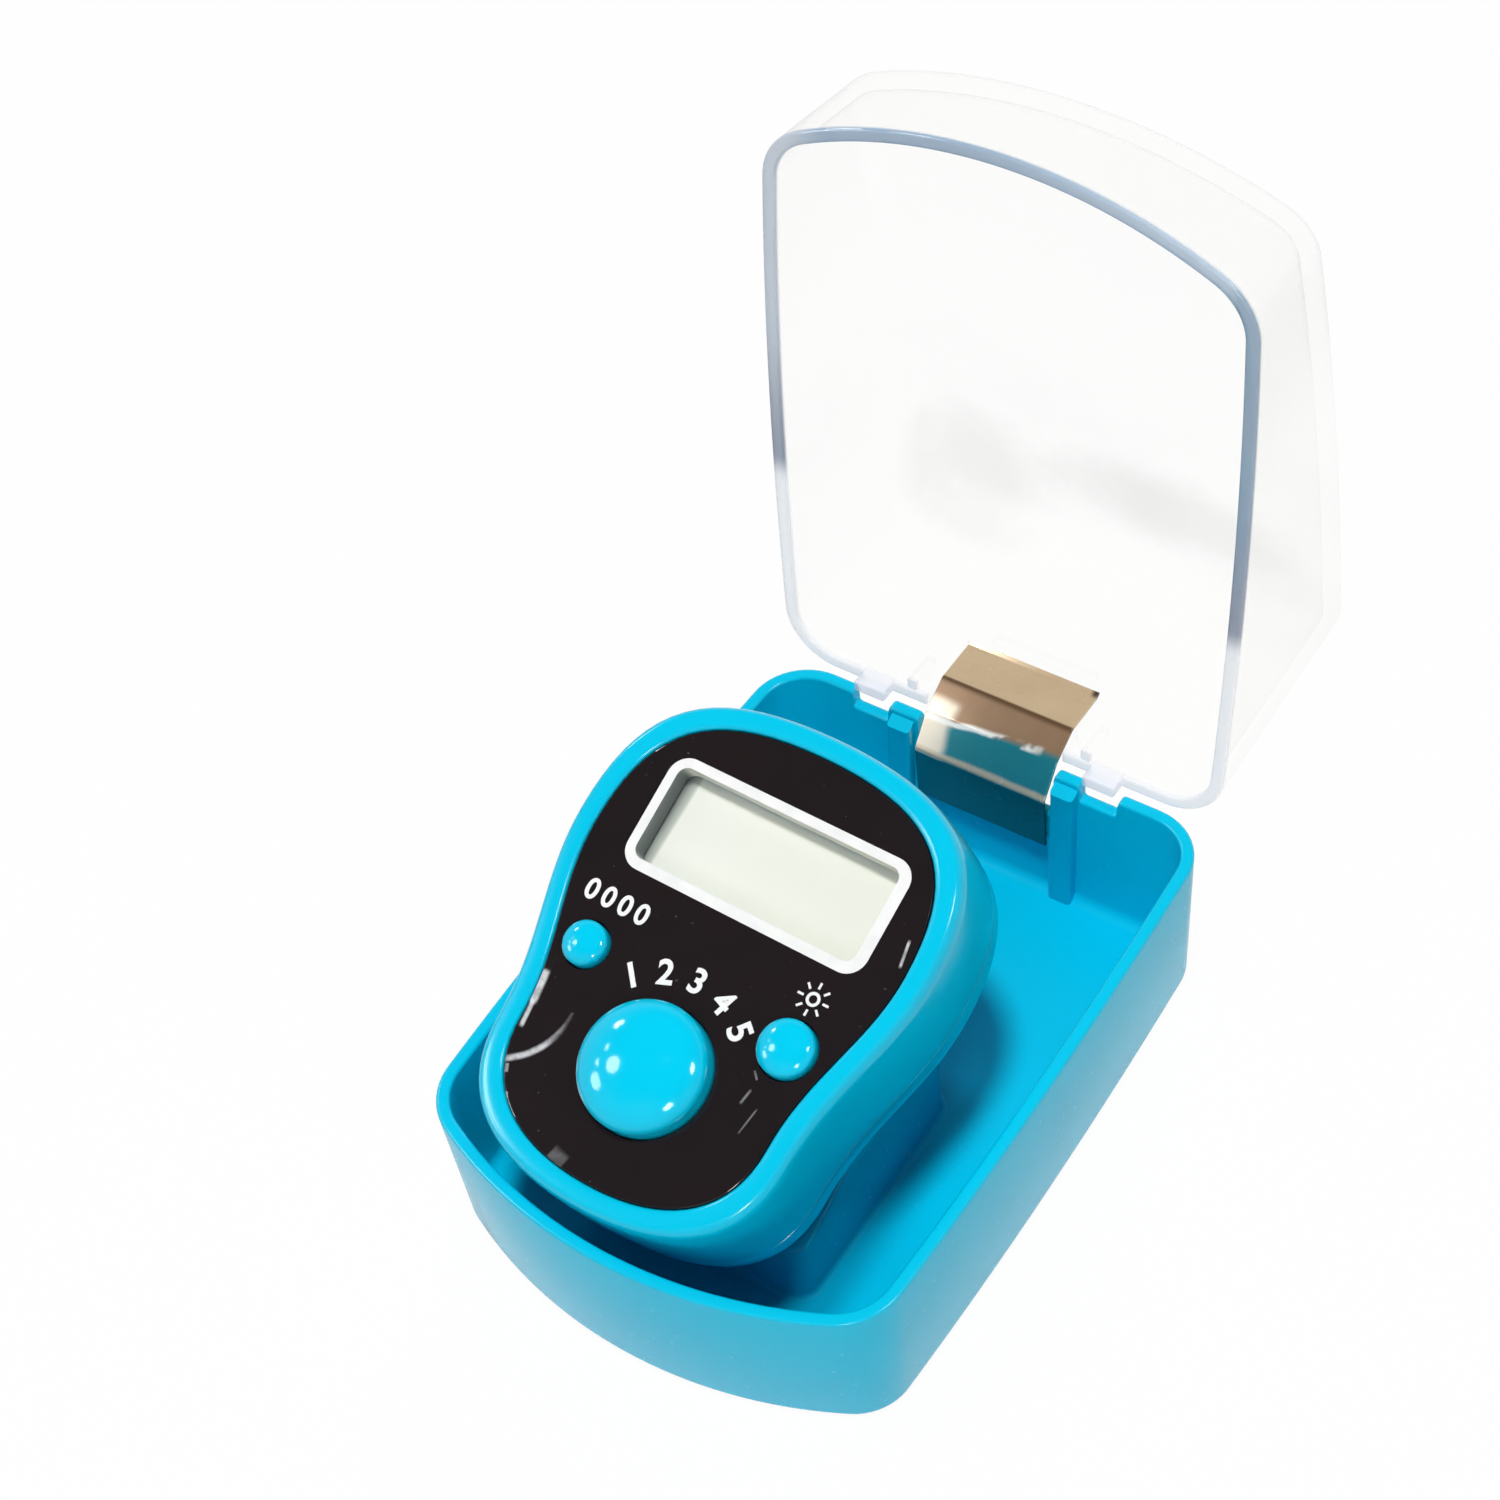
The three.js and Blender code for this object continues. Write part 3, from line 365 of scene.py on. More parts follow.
def case_outline(inset, side_inset):
    """Outline of the case walls drawn in by the insets, from the left hinge corner round the front."""
    half = CASE_WIDTH / 2 - side_inset
    back, front = CASE_LENGTH / 2 - inset, inset - CASE_LENGTH / 2
    rb, rf = BACK_CORNER - inset, FRONT_CORNER - inset
    bow = (CASE_WIDTH ** 2 / 4 + FRONT_BOW ** 2) / (2 * FRONT_BOW) - inset
    middle = front + bow
    corner = middle - math.sqrt((bow - rf) ** 2 - (half - rf) ** 2)
    lean = math.atan2(middle - corner, half - rf)
    belly = half + 2 * SIDE_BOW
    sides = []
    for sign, start, end in ((-1, back - rb, corner), (1, corner, back - rb)):
        a, b, c = (sign * half, start), (sign * belly, (back + front) / 2), (sign * half, end)
        b1 = tuple(a[k] / 3 + b[k] * 2 / 3 for k in (0, 1))
        b2 = tuple(c[k] / 3 + b[k] * 2 / 3 for k in (0, 1))
        sides.append(bezier(a, b1, b2, c, SIDE_STEPS)[1:-1])
    pi = math.pi
    return [
        *arc(rb - half, back - rb, rb, pi / 2, pi, BACK_STEPS), *sides[0],
        *arc(rf - half, corner, rf, pi, pi + lean, FRONT_STEPS),
        *arc(0, middle, bow, pi + lean, 2 * pi - lean, BOW_STEPS)[1:-1],
        *arc(half - rf, corner, rf, -lean, 0, FRONT_STEPS), *sides[1],
        *arc(half - rb, back - rb, rb, 0, pi / 2, BACK_STEPS),
    ]


def notch_edge(depth):
    """Rounded step down into a notch: distances into it and below the rim."""
    r = NOTCH_ROUND
    top = [(r * s - r, r - r * c) for s, c in quarter_turn(4)]
    low = [(r - r * c, depth - r + r * s) for s, c in quarter_turn(4)]
    return [(x + NOTCH_LEAN * z, z) for x, z in top + low]


def hinge_columns():
    """Places along the hinge wall, right to left, with the rim's dip at each."""
    columns = []
    notches = ((LUG_PLACES[0], LUG_NOTCH), (LEAF_MIDDLE, LEAF_NOTCH), (LUG_PLACES[1], LUG_NOTCH))
    for middle, (width, depth) in notches:
        edge = notch_edge(depth)
        columns += [(middle + width / 2 - x, z) for x, z in edge]
        columns += [(middle - width / 2 + x, z) for x, z in reversed(edge)]
    return columns


def tray_ring(extra, level, on_rim):
    """Ring of the tray's wall: extra is its distance in from the outer face."""
    height = level + TRAY_HEIGHT * on_rim
    inset = lambda z, taper=TRAY_TAPER: extra + taper * (1 - z / TRAY_HEIGHT)
    ring = [(x, y, height) for x, y in case_outline(inset(height), inset(height, TRAY_SIDE_TAPER))]
    for x, dip in hinge_columns():
        z = height - dip * on_rim
        ring.append((x, CASE_LENGTH / 2 - inset(z), z))
    return ring


def tray_walls():
    e, r, v = TRAY_EDGE, RIM_ROUND, COVE_ROUND
    bottom = [(e - e * s, e - e * c, 0) for s, c in quarter_turn()]
    outer = [(r - r * c, r * s - r, 1) for s, c in quarter_turn(4)]
    inner = [(CASE_WALL - r + r * s, r * c - r, 1) for s, c in quarter_turn(4)]
    cove = [(CASE_WALL + v - v * c, TRAY_FLOOR + v - v * s, 0) for s, c in quarter_turn()]
    return loft([tray_ring(*step) for step in bottom + outer + inner + cove])


def stand_top(y):
    """Height of the stand's sloped edge, just under the counter."""
    return COUNTER_BACK[1] + (y - COUNTER_BACK[0]) * math.tan(COUNTER_TILT) - STAND_PLAY


def stand_walls():
    middle = (0, STAND_FRONT + STAND_LENGTH / 2)

    def ring(grow, level, on_top):
        size = STAND_WIDTH + 2 * grow, STAND_LENGTH + 2 * grow
        flat = rounded_rectangle(*size, STAND_CORNER + grow, middle)
        return [(x, y, level + stand_top(y) * on_top) for x, y in flat]

    f, e, low = STAND_FOOT, STAND_EDGE, TRAY_FLOOR - SUNK
    foot = [(f - f * s, TRAY_FLOOR + f - f * c, 0) for s, c in quarter_turn(4)]
    outer = [(e * c - e, e * s - e, 1) for s, c in quarter_turn(3)]
    inner = [(e - STAND_WALL - e * s, e * c - e, 1) for s, c in quarter_turn(3)]
    steps = [(f, low, 0), *foot, *outer, *inner, (-STAND_WALL, low, 0)]
    return loft([ring(*step) for step in steps], closed=True)


def wall_rib():
    """One upright rib that stiffens the hinge wall beside the leaf, its top cut off aslant."""
    face = CASE_LENGTH / 2 - CASE_WALL
    rings = []
    for z in (TRAY_FLOOR - SUNK, TRAY_FLOOR + 4, RIB_TOP - 0.9):
        depth = 1 + TRAY_TAPER * (1 - z / TRAY_HEIGHT) + SUNK
        middle = (RIB_SHIFT, face + SUNK - depth / 2)
        rings.append([(x, y, z) for x, y in rounded_rectangle(RIB_WIDTH, depth, RIB_CORNER, middle, 4)])
    rings.append([(x, y, RIB_TOP + min(y - face + 1, 1) * 0.5) for x, y, _ in rings[-1]])
    return loft(rings)


# Painted shade: the tray's floor and stand under the counter and the inside of its right wall are darkened in the
# places away from the light.
case_tone, case_cloudy, case_painted_shade = colour(0, 198, 233), colour(0, 192, 227), colour(0, 152, 186)
case_cyan = moulded("cyan case plastic", case_tone, 0.22)
across, along, up = case_axes(case_cyan)
floor_shade = case_cyan.ramped(across, 13.5, 10.5) * case_cyan.ramped(across, -17, -15)
floor_shade = floor_shade * case_cyan.ramped(along, 7, 3) * case_cyan.ramped(along, -25.2, -24.2)
floor_shade = floor_shade * case_cyan.ramped(up, 12.5, 9)
wall_shade = case_cyan.ramped(across, 17.8, 18.6) * (across < 19.35) * (up < 14.2) * 0.8
wall_shade = wall_shade * case_cyan.ramped(along, -20, -17) * case_cyan.ramped(along, 24, 21)
flow = case_cyan.mix(case_cyan.cloud(9, 3), case_tone, case_cloudy)
case_cyan.vary({"Base Color": case_cyan.mix((floor_shade + wall_shade).clipped(), flow, case_painted_shade)})
tray = piece("case_tray", together(tray_walls(), stand_walls()), case_cyan)


# The ribs are two of one shape, set out by a node tree.
class Recipe(Wiring):
    """A Geometry Nodes tree with named sizes in metres, run once and turned into a plain mesh."""

    def __init__(self, name):
        super().__init__(bpy.data.node_groups.new(name, "GeometryNodeTree"))
        faces = self.tree.interface
        faces.new_socket("Geometry", in_out="INPUT", socket_type="NodeSocketGeometry")
        faces.new_socket("Geometry", in_out="OUTPUT", socket_type="NodeSocketGeometry")
        self.entry = self.tree.nodes.new("NodeGroupInput")
        self.start = Flow(self, self.entry.outputs[0])
        self.sizes = {}

    def size(self, name, value, kind="NodeSocketFloat"):
        socket = self.tree.interface.new_socket(name, in_out="INPUT", socket_type=kind)
        self.sizes[socket.identifier] = value
        return Flow(self, self.entry.outputs[name])

    def vector(self, x=0.0, y=0.0, z=0.0):
        return self.node("ShaderNodeCombineXYZ", sockets={0: x, 1: y, 2: z})

    def row(self, count, spacing, along=(1, 0, 0)):
        """Points in a row with its middle at the origin."""
        step = self.vector(*(spacing * share for share in along))
        back = self.vector(*(spacing * share * (0.5 - count / 2) for share in along))
        sockets = {"Count": count, "Start Location": back, "Offset": step}
        return self.node("GeometryNodeMeshLine", {"mode": "OFFSET"}, sockets)

    def copies(self, points, original):
        settings = {"transform_space": "RELATIVE"}
        shape = self.node("GeometryNodeObjectInfo", settings, {"Object": original}, "Geometry")
        return self.node("GeometryNodeInstanceOnPoints", sockets={"Points": points, "Instance": shape})

    def made(self, name, geometry, finish, start=None, place=Matrix(), crease=CREASE):
        whole = self.node("GeometryNodeRealizeInstances", sockets={0: geometry})
        if finish:
            whole = self.node("GeometryNodeSetMaterial", sockets={0: whole, "Material": finish.material})
        self.fill(self.tree.nodes.new("NodeGroupOutput"), {0: whole})
        maker = placed(name, start or bpy.data.meshes.new(name))
        growth = maker.modifiers.new("growth", "NODES")
        growth.node_group = self.tree
        for identifier, value in self.sizes.items():
            growth[identifier] = value
        mesh = finished_mesh(maker)
        maker.modifiers.clear()
        maker.data = mesh
        mesh.transform(place)
        if finish and not mesh.materials:
            mesh.materials.append(finish.material)
        soften(mesh, crease)
        return maker


one_rib = piece("one_rib", wall_rib(), case_cyan)
rib_pair = Recipe("rib pair")
spacing = rib_pair.size("Rib spacing", RIB_SPACING)
ribs = rib_pair.made("case_ribs", rib_pair.copies(rib_pair.row(2, spacing), one_rib), case_cyan)
bpy.data.objects.remove(one_rib)
settled(tray, "case", "cyan_plastic", "case_base")
settled(ribs, "case", "cyan_plastic")

# ----------------------------------------
# Clear lid: one moulding in clear polystyrene with the tray's outline, deep at the hinge and
# shallow at the front. Two lugs drop into the tray's notches; a bar and two guides hold the leaf.
LID_DEPTH, LID_TAPER, LID_EDGE, LID_ROUND = (25.26, 10.2), 0.7, 1.6, 0.22
LID_RIM, HINGE_PLAY, LID_TURN = 0.3, 0.15, -94
HINGE_LINE = (0, CASE_LENGTH / 2 + HINGE_PLAY, TRAY_HEIGHT + HINGE_PLAY)
LID_PLACE = Matrix.Translation(HINGE_LINE) @ Matrix.Rotation(math.radians(LID_TURN), 4, "X")
# Width, length, lowest and highest place of the small blocks on the lid's hinge wall.
LUG, GUIDE, CATCH = (2.9, CASE_WALL, -1.45, 0.9), (0.9, 1.2, 0.3, 3.6), (9.68, 1.2, 7.8, 8.7)
GUIDE_PLACE, LEAF_WAY_DEPTH = 8.1, 2.9


def lid_ring(inset, wall_share, drop):
    """Ring of the closed lid, seen from its hinge line: on the rim, or near the sloped top."""
    ring = []
    inset += LID_TAPER * wall_share
    for x, y in case_outline(inset, inset):
        share = (CASE_LENGTH / 2 - y) / CASE_LENGTH
        depth = LID_DEPTH[0] + (LID_DEPTH[1] - LID_DEPTH[0]) * share
        z = depth - drop if wall_share else LID_RIM + drop
        ring.append((x, y - CASE_LENGTH / 2 - HINGE_PLAY, z - HINGE_PLAY))
    return ring


def lid_walls():
    w, e, r = CASE_WALL, LID_EDGE, LID_ROUND
    ceiling = [(w + e - e * s, 1, w + e - e * c) for s, c in quarter_turn(8)]
    inner_rim = [(w - r + r * c, 0, r - r * s) for s, c in quarter_turn(4)]
    outer_rim = [(r - r * s, 0, r - r * c) for s, c in quarter_turn(4)]
    roof = [(e - e * c, 1, e - e * s) for s, c in quarter_turn(8)]
    return loft([lid_ring(*step) for step in ceiling + inner_rim + outer_rim + roof])


def block(width, length, low, high, x=0.0, y=0.0, edge=0.15):
    """Small moulded block with rounded corners and edges."""
    rings = [(edge * s - edge, low + edge - edge * c) for s, c in quarter_turn(3)]
    rings += [(edge * c - edge, high - edge + edge * s) for s, c in quarter_turn(3)]
    return loft([
        [(p, q, z) for p, q in rounded_rectangle(width + 2 * g, length + 2 * g, edge * 1.5 + g, (x, y), 4)]
        for g, z in rings
    ])


def combined(body, operation, *tools):
    """Joins other shapes to a piece, or cuts them out of it, and deletes them."""
    for tool in tools:
        step = body.modifiers.new(operation, "BOOLEAN")
        step.operation, step.object, step.solver = operation, tool, "EXACT"
    mesh = finished_mesh(body)
    body.modifiers.clear()
    body.data = mesh
    for tool in tools:
        bpy.data.objects.remove(tool)


class Sheer(Finish):
    """Clear plastic seen against white: see-through but for its haze, its edges and its tints."""

    def __init__(self, name, density, **numbers):
        super().__init__(name, **numbers)
        facing = self.node("ShaderNodeLayerWeight", sockets={"Blend": 0.35}, out="Facing")
        self.edge = facing ** 4
        self.through = self.node("ShaderNodeBsdfTransparent", sockets={"Color": density})

    def finish(self, solid):
        """Sets how solid it looks over the surface; shadows stay light."""
        share = (solid * (1 - self.ray("Is Shadow Ray") * 0.8)).clipped()
        both = self.node("ShaderNodeMixShader", sockets={
            0: share, 1: self.through, 2: Flow(self, self.main.outputs[0])})
        self.fill(self.tree.nodes["Material Output"], {"Surface": both})


clear_lid = Sheer("clear lid plastic", (0.997, 0.997, 0.993, 1))
off_rim = LID_PLACE.to_3x3() @ Vector((0, 0, 1))
from_hinge = clear_lid.node(
    "ShaderNodeVectorMath", {"operation": "SUBTRACT"}, {0: clear_lid.place(), 1: LID_PLACE.to_translation() * 0.001},
)
above_rim = clear_lid.node(
    "ShaderNodeVectorMath", {"operation": "DOT_PRODUCT"}, {0: from_hinge, 1: off_rim}, "Value",
)
on_rim = clear_lid.ramped(above_rim, 0.0003, 0.0008, 1, 0)
across, along, up = case_axes(clear_lid)
upper_part = clear_lid.ramped(up, 33.5, 36.5)


def reflection_patch(x, z, width, height):
    """A soft warm-grey painted reflection on the lid about a place seen from the front."""
    off = ((across - x) / width) ** 2 + ((up - z) / height) ** 2
    return clear_lid.ramped(off + (clear_lid.cloud(4, 3) - 0.5) * 1.2, 1.5, 0)


on_roof = clear_lid.ramped(along, 45.5, 48.5)
painted_reflections = on_roof * (reflection_patch(-14.5, 19.5, 7, 8) + reflection_patch(3.5, 22.5, 12, 5) + reflection_patch(14, 16, 7, 6) * 0.4).clipped()
haze = clear_lid.ramped(clear_lid.cloud(16, 2), 0.45, 0.8) * clear_lid.ramped(up, 44, 30)
outline = clear_lid.edge * clear_lid.ramped(up, 45, 60, 0.1, 0.7)
# The rim's blue-grey is the tint of the clear plastic seen along its edge, with painted reflections of the room that
# change across the rim and with its height.
rim_tint_and_reflections = clear_lid.layered(
    colour(188, 200, 214), (clear_lid.ramped(across, -19, -14), colour(124, 156, 186)),
    (clear_lid.ramped(across, -6, 16), colour(168, 190, 212)),
    (clear_lid.ramped(across, 17.2, 18.8), colour(116, 150, 178)),
    (clear_lid.ramped(up, 52, 37), colour(124, 136, 160)), (1 - upper_part, colour(232, 236, 248)),
)
# Painted reflections on the walls: warm-grey patches on the roof, and grey where the walls are seen edge-on.
pale_with_reflections = clear_lid.layered(
    colour(250, 250, 248), (painted_reflections, colour(196, 192, 180)), (clear_lid.edge, colour(128, 128, 124)),
)
clear_lid.vary({"Base Color": clear_lid.mix(on_rim, pale_with_reflections, rim_tint_and_reflections), "Roughness": 0.04 + painted_reflections * 0.1})
clear_lid.relief(clear_lid.cloud(11, 1), 0.01)
clear_lid.finish(0.015 + painted_reflections * 0.07 + haze * 0.03 + outline + on_rim * (0.4 + upper_part * 0.42))

lid = piece("lid_cover", lid_walls(), clear_lid, LID_PLACE)
wall_face = -HINGE_PLAY - CASE_WALL
lug_middle = wall_face + CASE_WALL / 2 - HINGE_PLAY
lugs = [block(*LUG, place, lug_middle) for place in LUG_PLACES]
guides = [block(*GUIDE, place, wall_face - 0.45) for place in (-GUIDE_PLACE, GUIDE_PLACE)]
catch = block(*CATCH, 0, wall_face - 0.45)
extras = [piece("lid_extra", shape, None, LID_PLACE) for shape in [*lugs, *guides, catch]]
combined(lid, "UNION", *extras)
leaf_way = block(
    LEAF_NOTCH[0], CASE_WALL * 2.5, -1, LEAF_WAY_DEPTH, LEAF_MIDDLE, wall_face + CASE_WALL / 2, 0.3,
)
combined(lid, "DIFFERENCE", piece("lid_cut", leaf_way, None, LID_PLACE))
soften(lid.data)
settled(lid, "lid", "clear_plastic", "case_lid")

# ----------------------------------------
# Leaf spring: a strip of bright rolled steel, creased over the hinge line. One end is caught on
# the lid's wall and the other stands inside the tray's, and its snap holds the lid open or shut.
steel = Finish("bright spring steel", Metallic=0.3, Roughness=0.24)
across, along, up = case_axes(steel)
stain = steel.cloud(4, 2)
wander = (steel.cloud(5, 3) - 0.5) * 1.6
# Masks for painted light: the height at which the tray's rim is mirrored, a pale painted reflection near the left
# end, a painted glint, and a painted highlight along the lower fold.
mirrored_rim = up + wander * 0.35 - across * 0.05
white_reflection = steel.ramped(across + wander, -3.2, -4.2) * steel.ramped(along + wander * 0.6, 29.9, 29.2)
painted_glint = steel.ramped(abs(mirrored_rim - 15.2), 0.06, 0.28, 1, 0)
painted_glint = painted_glint * steel.ramped(steel.cloud(1.8, 2), 0.42, 0.55) * steel.ramped(across, 5.5, 3)
fold_highlight = steel.ramped(abs(up + wander * 0.25 - 12.7), 0.1, 0.4, 1, 0)
# Painted light over the flap's khaki tones: shade in the crease and at the curled corner, and reflections of the
# room and the tray as brown, teal and dark blue bands.
tone = steel.layered(
    steel.mix(stain, colour(228, 202, 166), colour(206, 180, 144)),
    (steel.ramped(along, 31.35, 31.1), colour(112, 84, 60)),
    (steel.ramped(along, 31.0, 30.6), steel.mix(stain, colour(176, 143, 112), colour(142, 110, 82))),
    (steel.ramped(mirrored_rim, 15.4, 15.0), colour(34, 132, 142)),
    (white_reflection, steel.mix(stain, colour(252, 242, 224), colour(214, 190, 156))),
    (painted_glint, colour(252, 248, 240)), (fold_highlight * 0.85, colour(206, 190, 164)),
    (steel.ramped(up + wander * 0.2, 12.45, 12.2), colour(12, 88, 100)),
    (steel.ramped(across, 5.1, 5.6) * steel.ramped(along, 34.8, 35.3), colour(90, 76, 66)),
)
steel.vary({"Base Color": tone, "Roughness": 0.24 + stain * 0.06})
steel.relief(steel.cloud(4, 1), 0.008)


def polyline(name, points, place=Matrix()):
    mesh = bpy.data.meshes.new(name)
    edges = [(i, i + 1) for i in range(len(points) - 1)]
    mesh.from_pydata([place @ Vector(point) * 0.001 for point in points], edges, [])
    return mesh


STRIP_EDGE = 0.3


def bent_strip(name, points, width, thickness, bend, finish, place=Matrix()):
    """Strip of rectangular section with rounded edges along a line whose corners are bent round."""
    strip = Recipe(name)
    wide, thick = strip.size("Width", width * 0.001), strip.size("Thickness", thickness * 0.001)
    radius = strip.size("Bend radius", bend * 0.001)
    line = strip.node("GeometryNodeMeshToCurve", sockets={0: strip.start})
    line = strip.node("GeometryNodeFilletCurve", {"mode": "POLY"}, {
        "Curve": line, "Count": 8, "Radius": radius, "Limit Radius": True})
    line = strip.node("GeometryNodeSetCurveNormal", {"mode": "MINIMUM_TWIST"}, {"Curve": line})
    section = strip.node("GeometryNodeCurvePrimitiveQuadrilateral", sockets={"Width": wide, "Height": thick})
    section = strip.node("GeometryNodeFilletCurve", {"mode": "POLY"}, {
        "Curve": section, "Count": 3, "Radius": thick * STRIP_EDGE, "Limit Radius": True})
    band = strip.node("GeometryNodeCurveToMesh", sockets={
        "Curve": line, "Profile Curve": section, "Fill Caps": True})
    return strip.made(name, band, finish, polyline(name, points, place), crease=STRIP_CREASE)


LEAF_WIDTH, LEAF_THICKNESS, LEAF_BEND = 12.2, 0.3, 0.5


def leaf_line():
    """Side view of the leaf as y and z from the tray's hinge edge, from the lid's end down."""
    fall = math.tan(math.radians(4)) - LID_TAPER / LID_DEPTH[0]
    on_lid = lambda y: 1.85 - y * fall
    flap = [(7.1, on_lid(7.2) + 0.3), (6.7, on_lid(6.7)), (2.6, on_lid(2.6))]
    return [*flap, (0, 0.3), (-2.15, -2.3), (-2.07, -7.9)]


leaf_points = [(LEAF_MIDDLE, y + CASE_LENGTH / 2, z + TRAY_HEIGHT) for y, z in leaf_line()]
leaf = bent_strip("leaf_spring", leaf_points, LEAF_WIDTH, LEAF_THICKNESS, LEAF_BEND, steel)
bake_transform(leaf)
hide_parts("hinge_spring")

# ----------------------------------------
# Counter's front shell: a glossy cyan moulding, pear-shaped, with a rounded rim round the sunk
# face and round holes for the buttons. The walls of its display opening are painted grey, and
# painted shade darkens the left one.
COUNTER_PLACE = (
    Matrix.Translation((-2.8, -8.5, 25.235)) @ Matrix.Rotation(math.radians(-2.3), 4, "Z")
    @ Matrix.Rotation(COUNTER_TILT, 4, "X")
)
IN_METRES = Matrix.Scale(0.001, 4) @ COUNTER_PLACE @ Matrix.Scale(1000, 4)
FACE_LENGTH, FACE_WIDTH, FACE_WAIST = 36, 28.1, 22.5
RIM_WIDTH, SEAM_DEPTH, BODY_THICKNESS = 1.9, 9, 12.4
WINDOW = (20, 7.9, 0.9, (0, 9))
BUTTONS = {
    "count": ((0, -8.6), 5.1, 3.3), "reset": ((-9.4, -2.5), 1.8, 1.3), "led": ((8.9, -2.5), 2.25, 1.5),
}
DECK, HOLE_PLAY, FILM_HOLE_PLAY, PRINT_SUNK = -0.8, 0.3, 0.16, -0.03


def face_outline(grow):
    """The pear outline of the counter's face, grown outwards, from the display end to the left."""
    steps = 18
    end, wide, waist = FACE_LENGTH / 2 + grow, FACE_WIDTH / 2 + grow, FACE_WAIST / 2 + grow
    left = [
        *bezier((0, end), (-wide * 0.73, end), (-wide, end * 0.81), (-wide, end / 3), steps)[:-1],
        *bezier((-wide, end / 3), (-wide, 0.5), (-waist, -end * 0.19), (-waist, -end * 0.53), steps)[:-1],
        *bezier((-waist, -end * 0.53), (-waist, -end * 0.86), (-waist * 0.58, -end), (0, -end), steps),
    ]
    return left + [(-x, y) for x, y in reversed(left[1:-1])]


def face_ring(grow, height):
    return [(x, y, height) for x, y in face_outline(grow)]


def plate(outline, low, high):
    return loft([[(x, y, z) for x, y in outline] for z in (low, high)])


def disc(middle, radius, steps=64):
    return arc(*middle, radius, 0, math.tau * (steps - 1) / steps, steps - 1)


def window_outline(margin):
    width, height, corner, middle = WINDOW
    return rounded_rectangle(width + 2 * margin, height + 2 * margin, corner + margin, middle, 8)


def button_holes(play):
    return [plate(disc(middle, radius + play), -4, 1) for middle, radius, _ in BUTTONS.values()]


def opened(made, *shapes):
    """Cuts shapes, given in the counter's own millimetres, out of one of its pieces."""
    combined(made, "DIFFERENCE", *[piece("tool", shape, None, COUNTER_PLACE) for shape in shapes])
    soften(made.data, SHELL_CREASE)


shell_cyan = moulded("cyan counter plastic", colour(0, 200, 236), 0.14, 0.0015)
side_wall = [
    (RIM_WIDTH, -SEAM_DEPTH + 0.2), (RIM_WIDTH + 0.08, -6.5), (RIM_WIDTH + 0.1, -4.5), (RIM_WIDTH + 0.06, -2.6),
]
lip = [(1.2 + 0.7 * c, 1.55 * s - 1.35) for s, c in quarter_turn(8)]
inner_lip = [(0.4 - 0.4 * s, 0.4 * c - 0.2) for s, c in quarter_turn(5)]
skin = loft([face_ring(*step) for step in [
    (0.6, -2), (0.6, -SEAM_DEPTH), (RIM_WIDTH - 0.2, -SEAM_DEPTH), *side_wall, *lip, *inner_lip, (0, DECK),
]])
upper = piece("upper_shell", skin, shell_cyan, COUNTER_PLACE)
opened(upper, plate(window_outline(0), -4, 1), *button_holes(HOLE_PLAY))


def face_axes(finish):
    """Places on the counter in its own millimetres: across, towards the display end, and up."""
    place = finish.node("ShaderNodeMapping", {"vector_type": "TEXTURE"}, {
        "Vector": finish.place(), "Location": COUNTER_PLACE.to_translation() * 0.001,
        "Rotation": COUNTER_PLACE.to_euler("XYZ"), "Scale": (0.001, 0.001, 0.001),
    })
    return [finish.node("ShaderNodeSeparateXYZ", sockets={0: place}, out=axis) for axis in "XYZ"]


opening_grey_and_shade = Finish("grey paint in the opening", Roughness=0.5)
# Painted shade: the left wall of the opening is dark grey, the rest light grey.
left_wall_shade = opening_grey_and_shade.ramped(face_axes(opening_grey_and_shade)[0] + opening_grey_and_shade.cloud(2, 2) * 0.1, -9.9, -9.4)
opening_grey_and_shade.vary({"Base Color": opening_grey_and_shade.mix(left_wall_shade, colour(96, 103, 103), colour(226, 229, 219))})
INTO_FACE = COUNTER_PLACE.inverted()
PAINT_REACH, PAINTED_DEPTHS = (10.1, 4.05), (-2.1, -0.2)


def paint_opening(made):
    """Paints the upright walls of the display opening."""
    made.data.materials.append(opening_grey_and_shade.material)
    for face in made.data.polygons:
        x, y, z = INTO_FACE @ (face.center * 1000)
        upright = abs((INTO_FACE.to_3x3() @ face.normal).z) < 0.5
        inside = abs(x) < PAINT_REACH[0] and abs(y - WINDOW[3][1]) < PAINT_REACH[1]
        if upright and inside and PAINTED_DEPTHS[0] < z < PAINTED_DEPTHS[1]:
            face.material_index = 1


paint_opening(upper)
settled(upper, "counter", "cyan_plastic", "front_shell")

# ----------------------------------------
# Counter's back shell: the shallow lower half in the same plastic, a little narrower so that the
# joint shows as a dark line. It has slots for the strap, four screw holes and the battery lid.
SCREWS = [(12.2, 1.6), (-12.2, 1.6), (6.5, -14.6), (-6.5, -14.6)]
STRAP_SLOTS = (-11.6, 3.2)
SLOT_LENGTH, SLOT_WIDTH, SCREW_HOLE = 9.6, 1.8, 1.6
DOOR = (15, 13.6, 2, (0, 11.3))


def door_outline(grow):
    length, width, corner, middle = DOOR
    return rounded_rectangle(length + 2 * grow, width + 2 * grow, corner + grow, middle, 8)


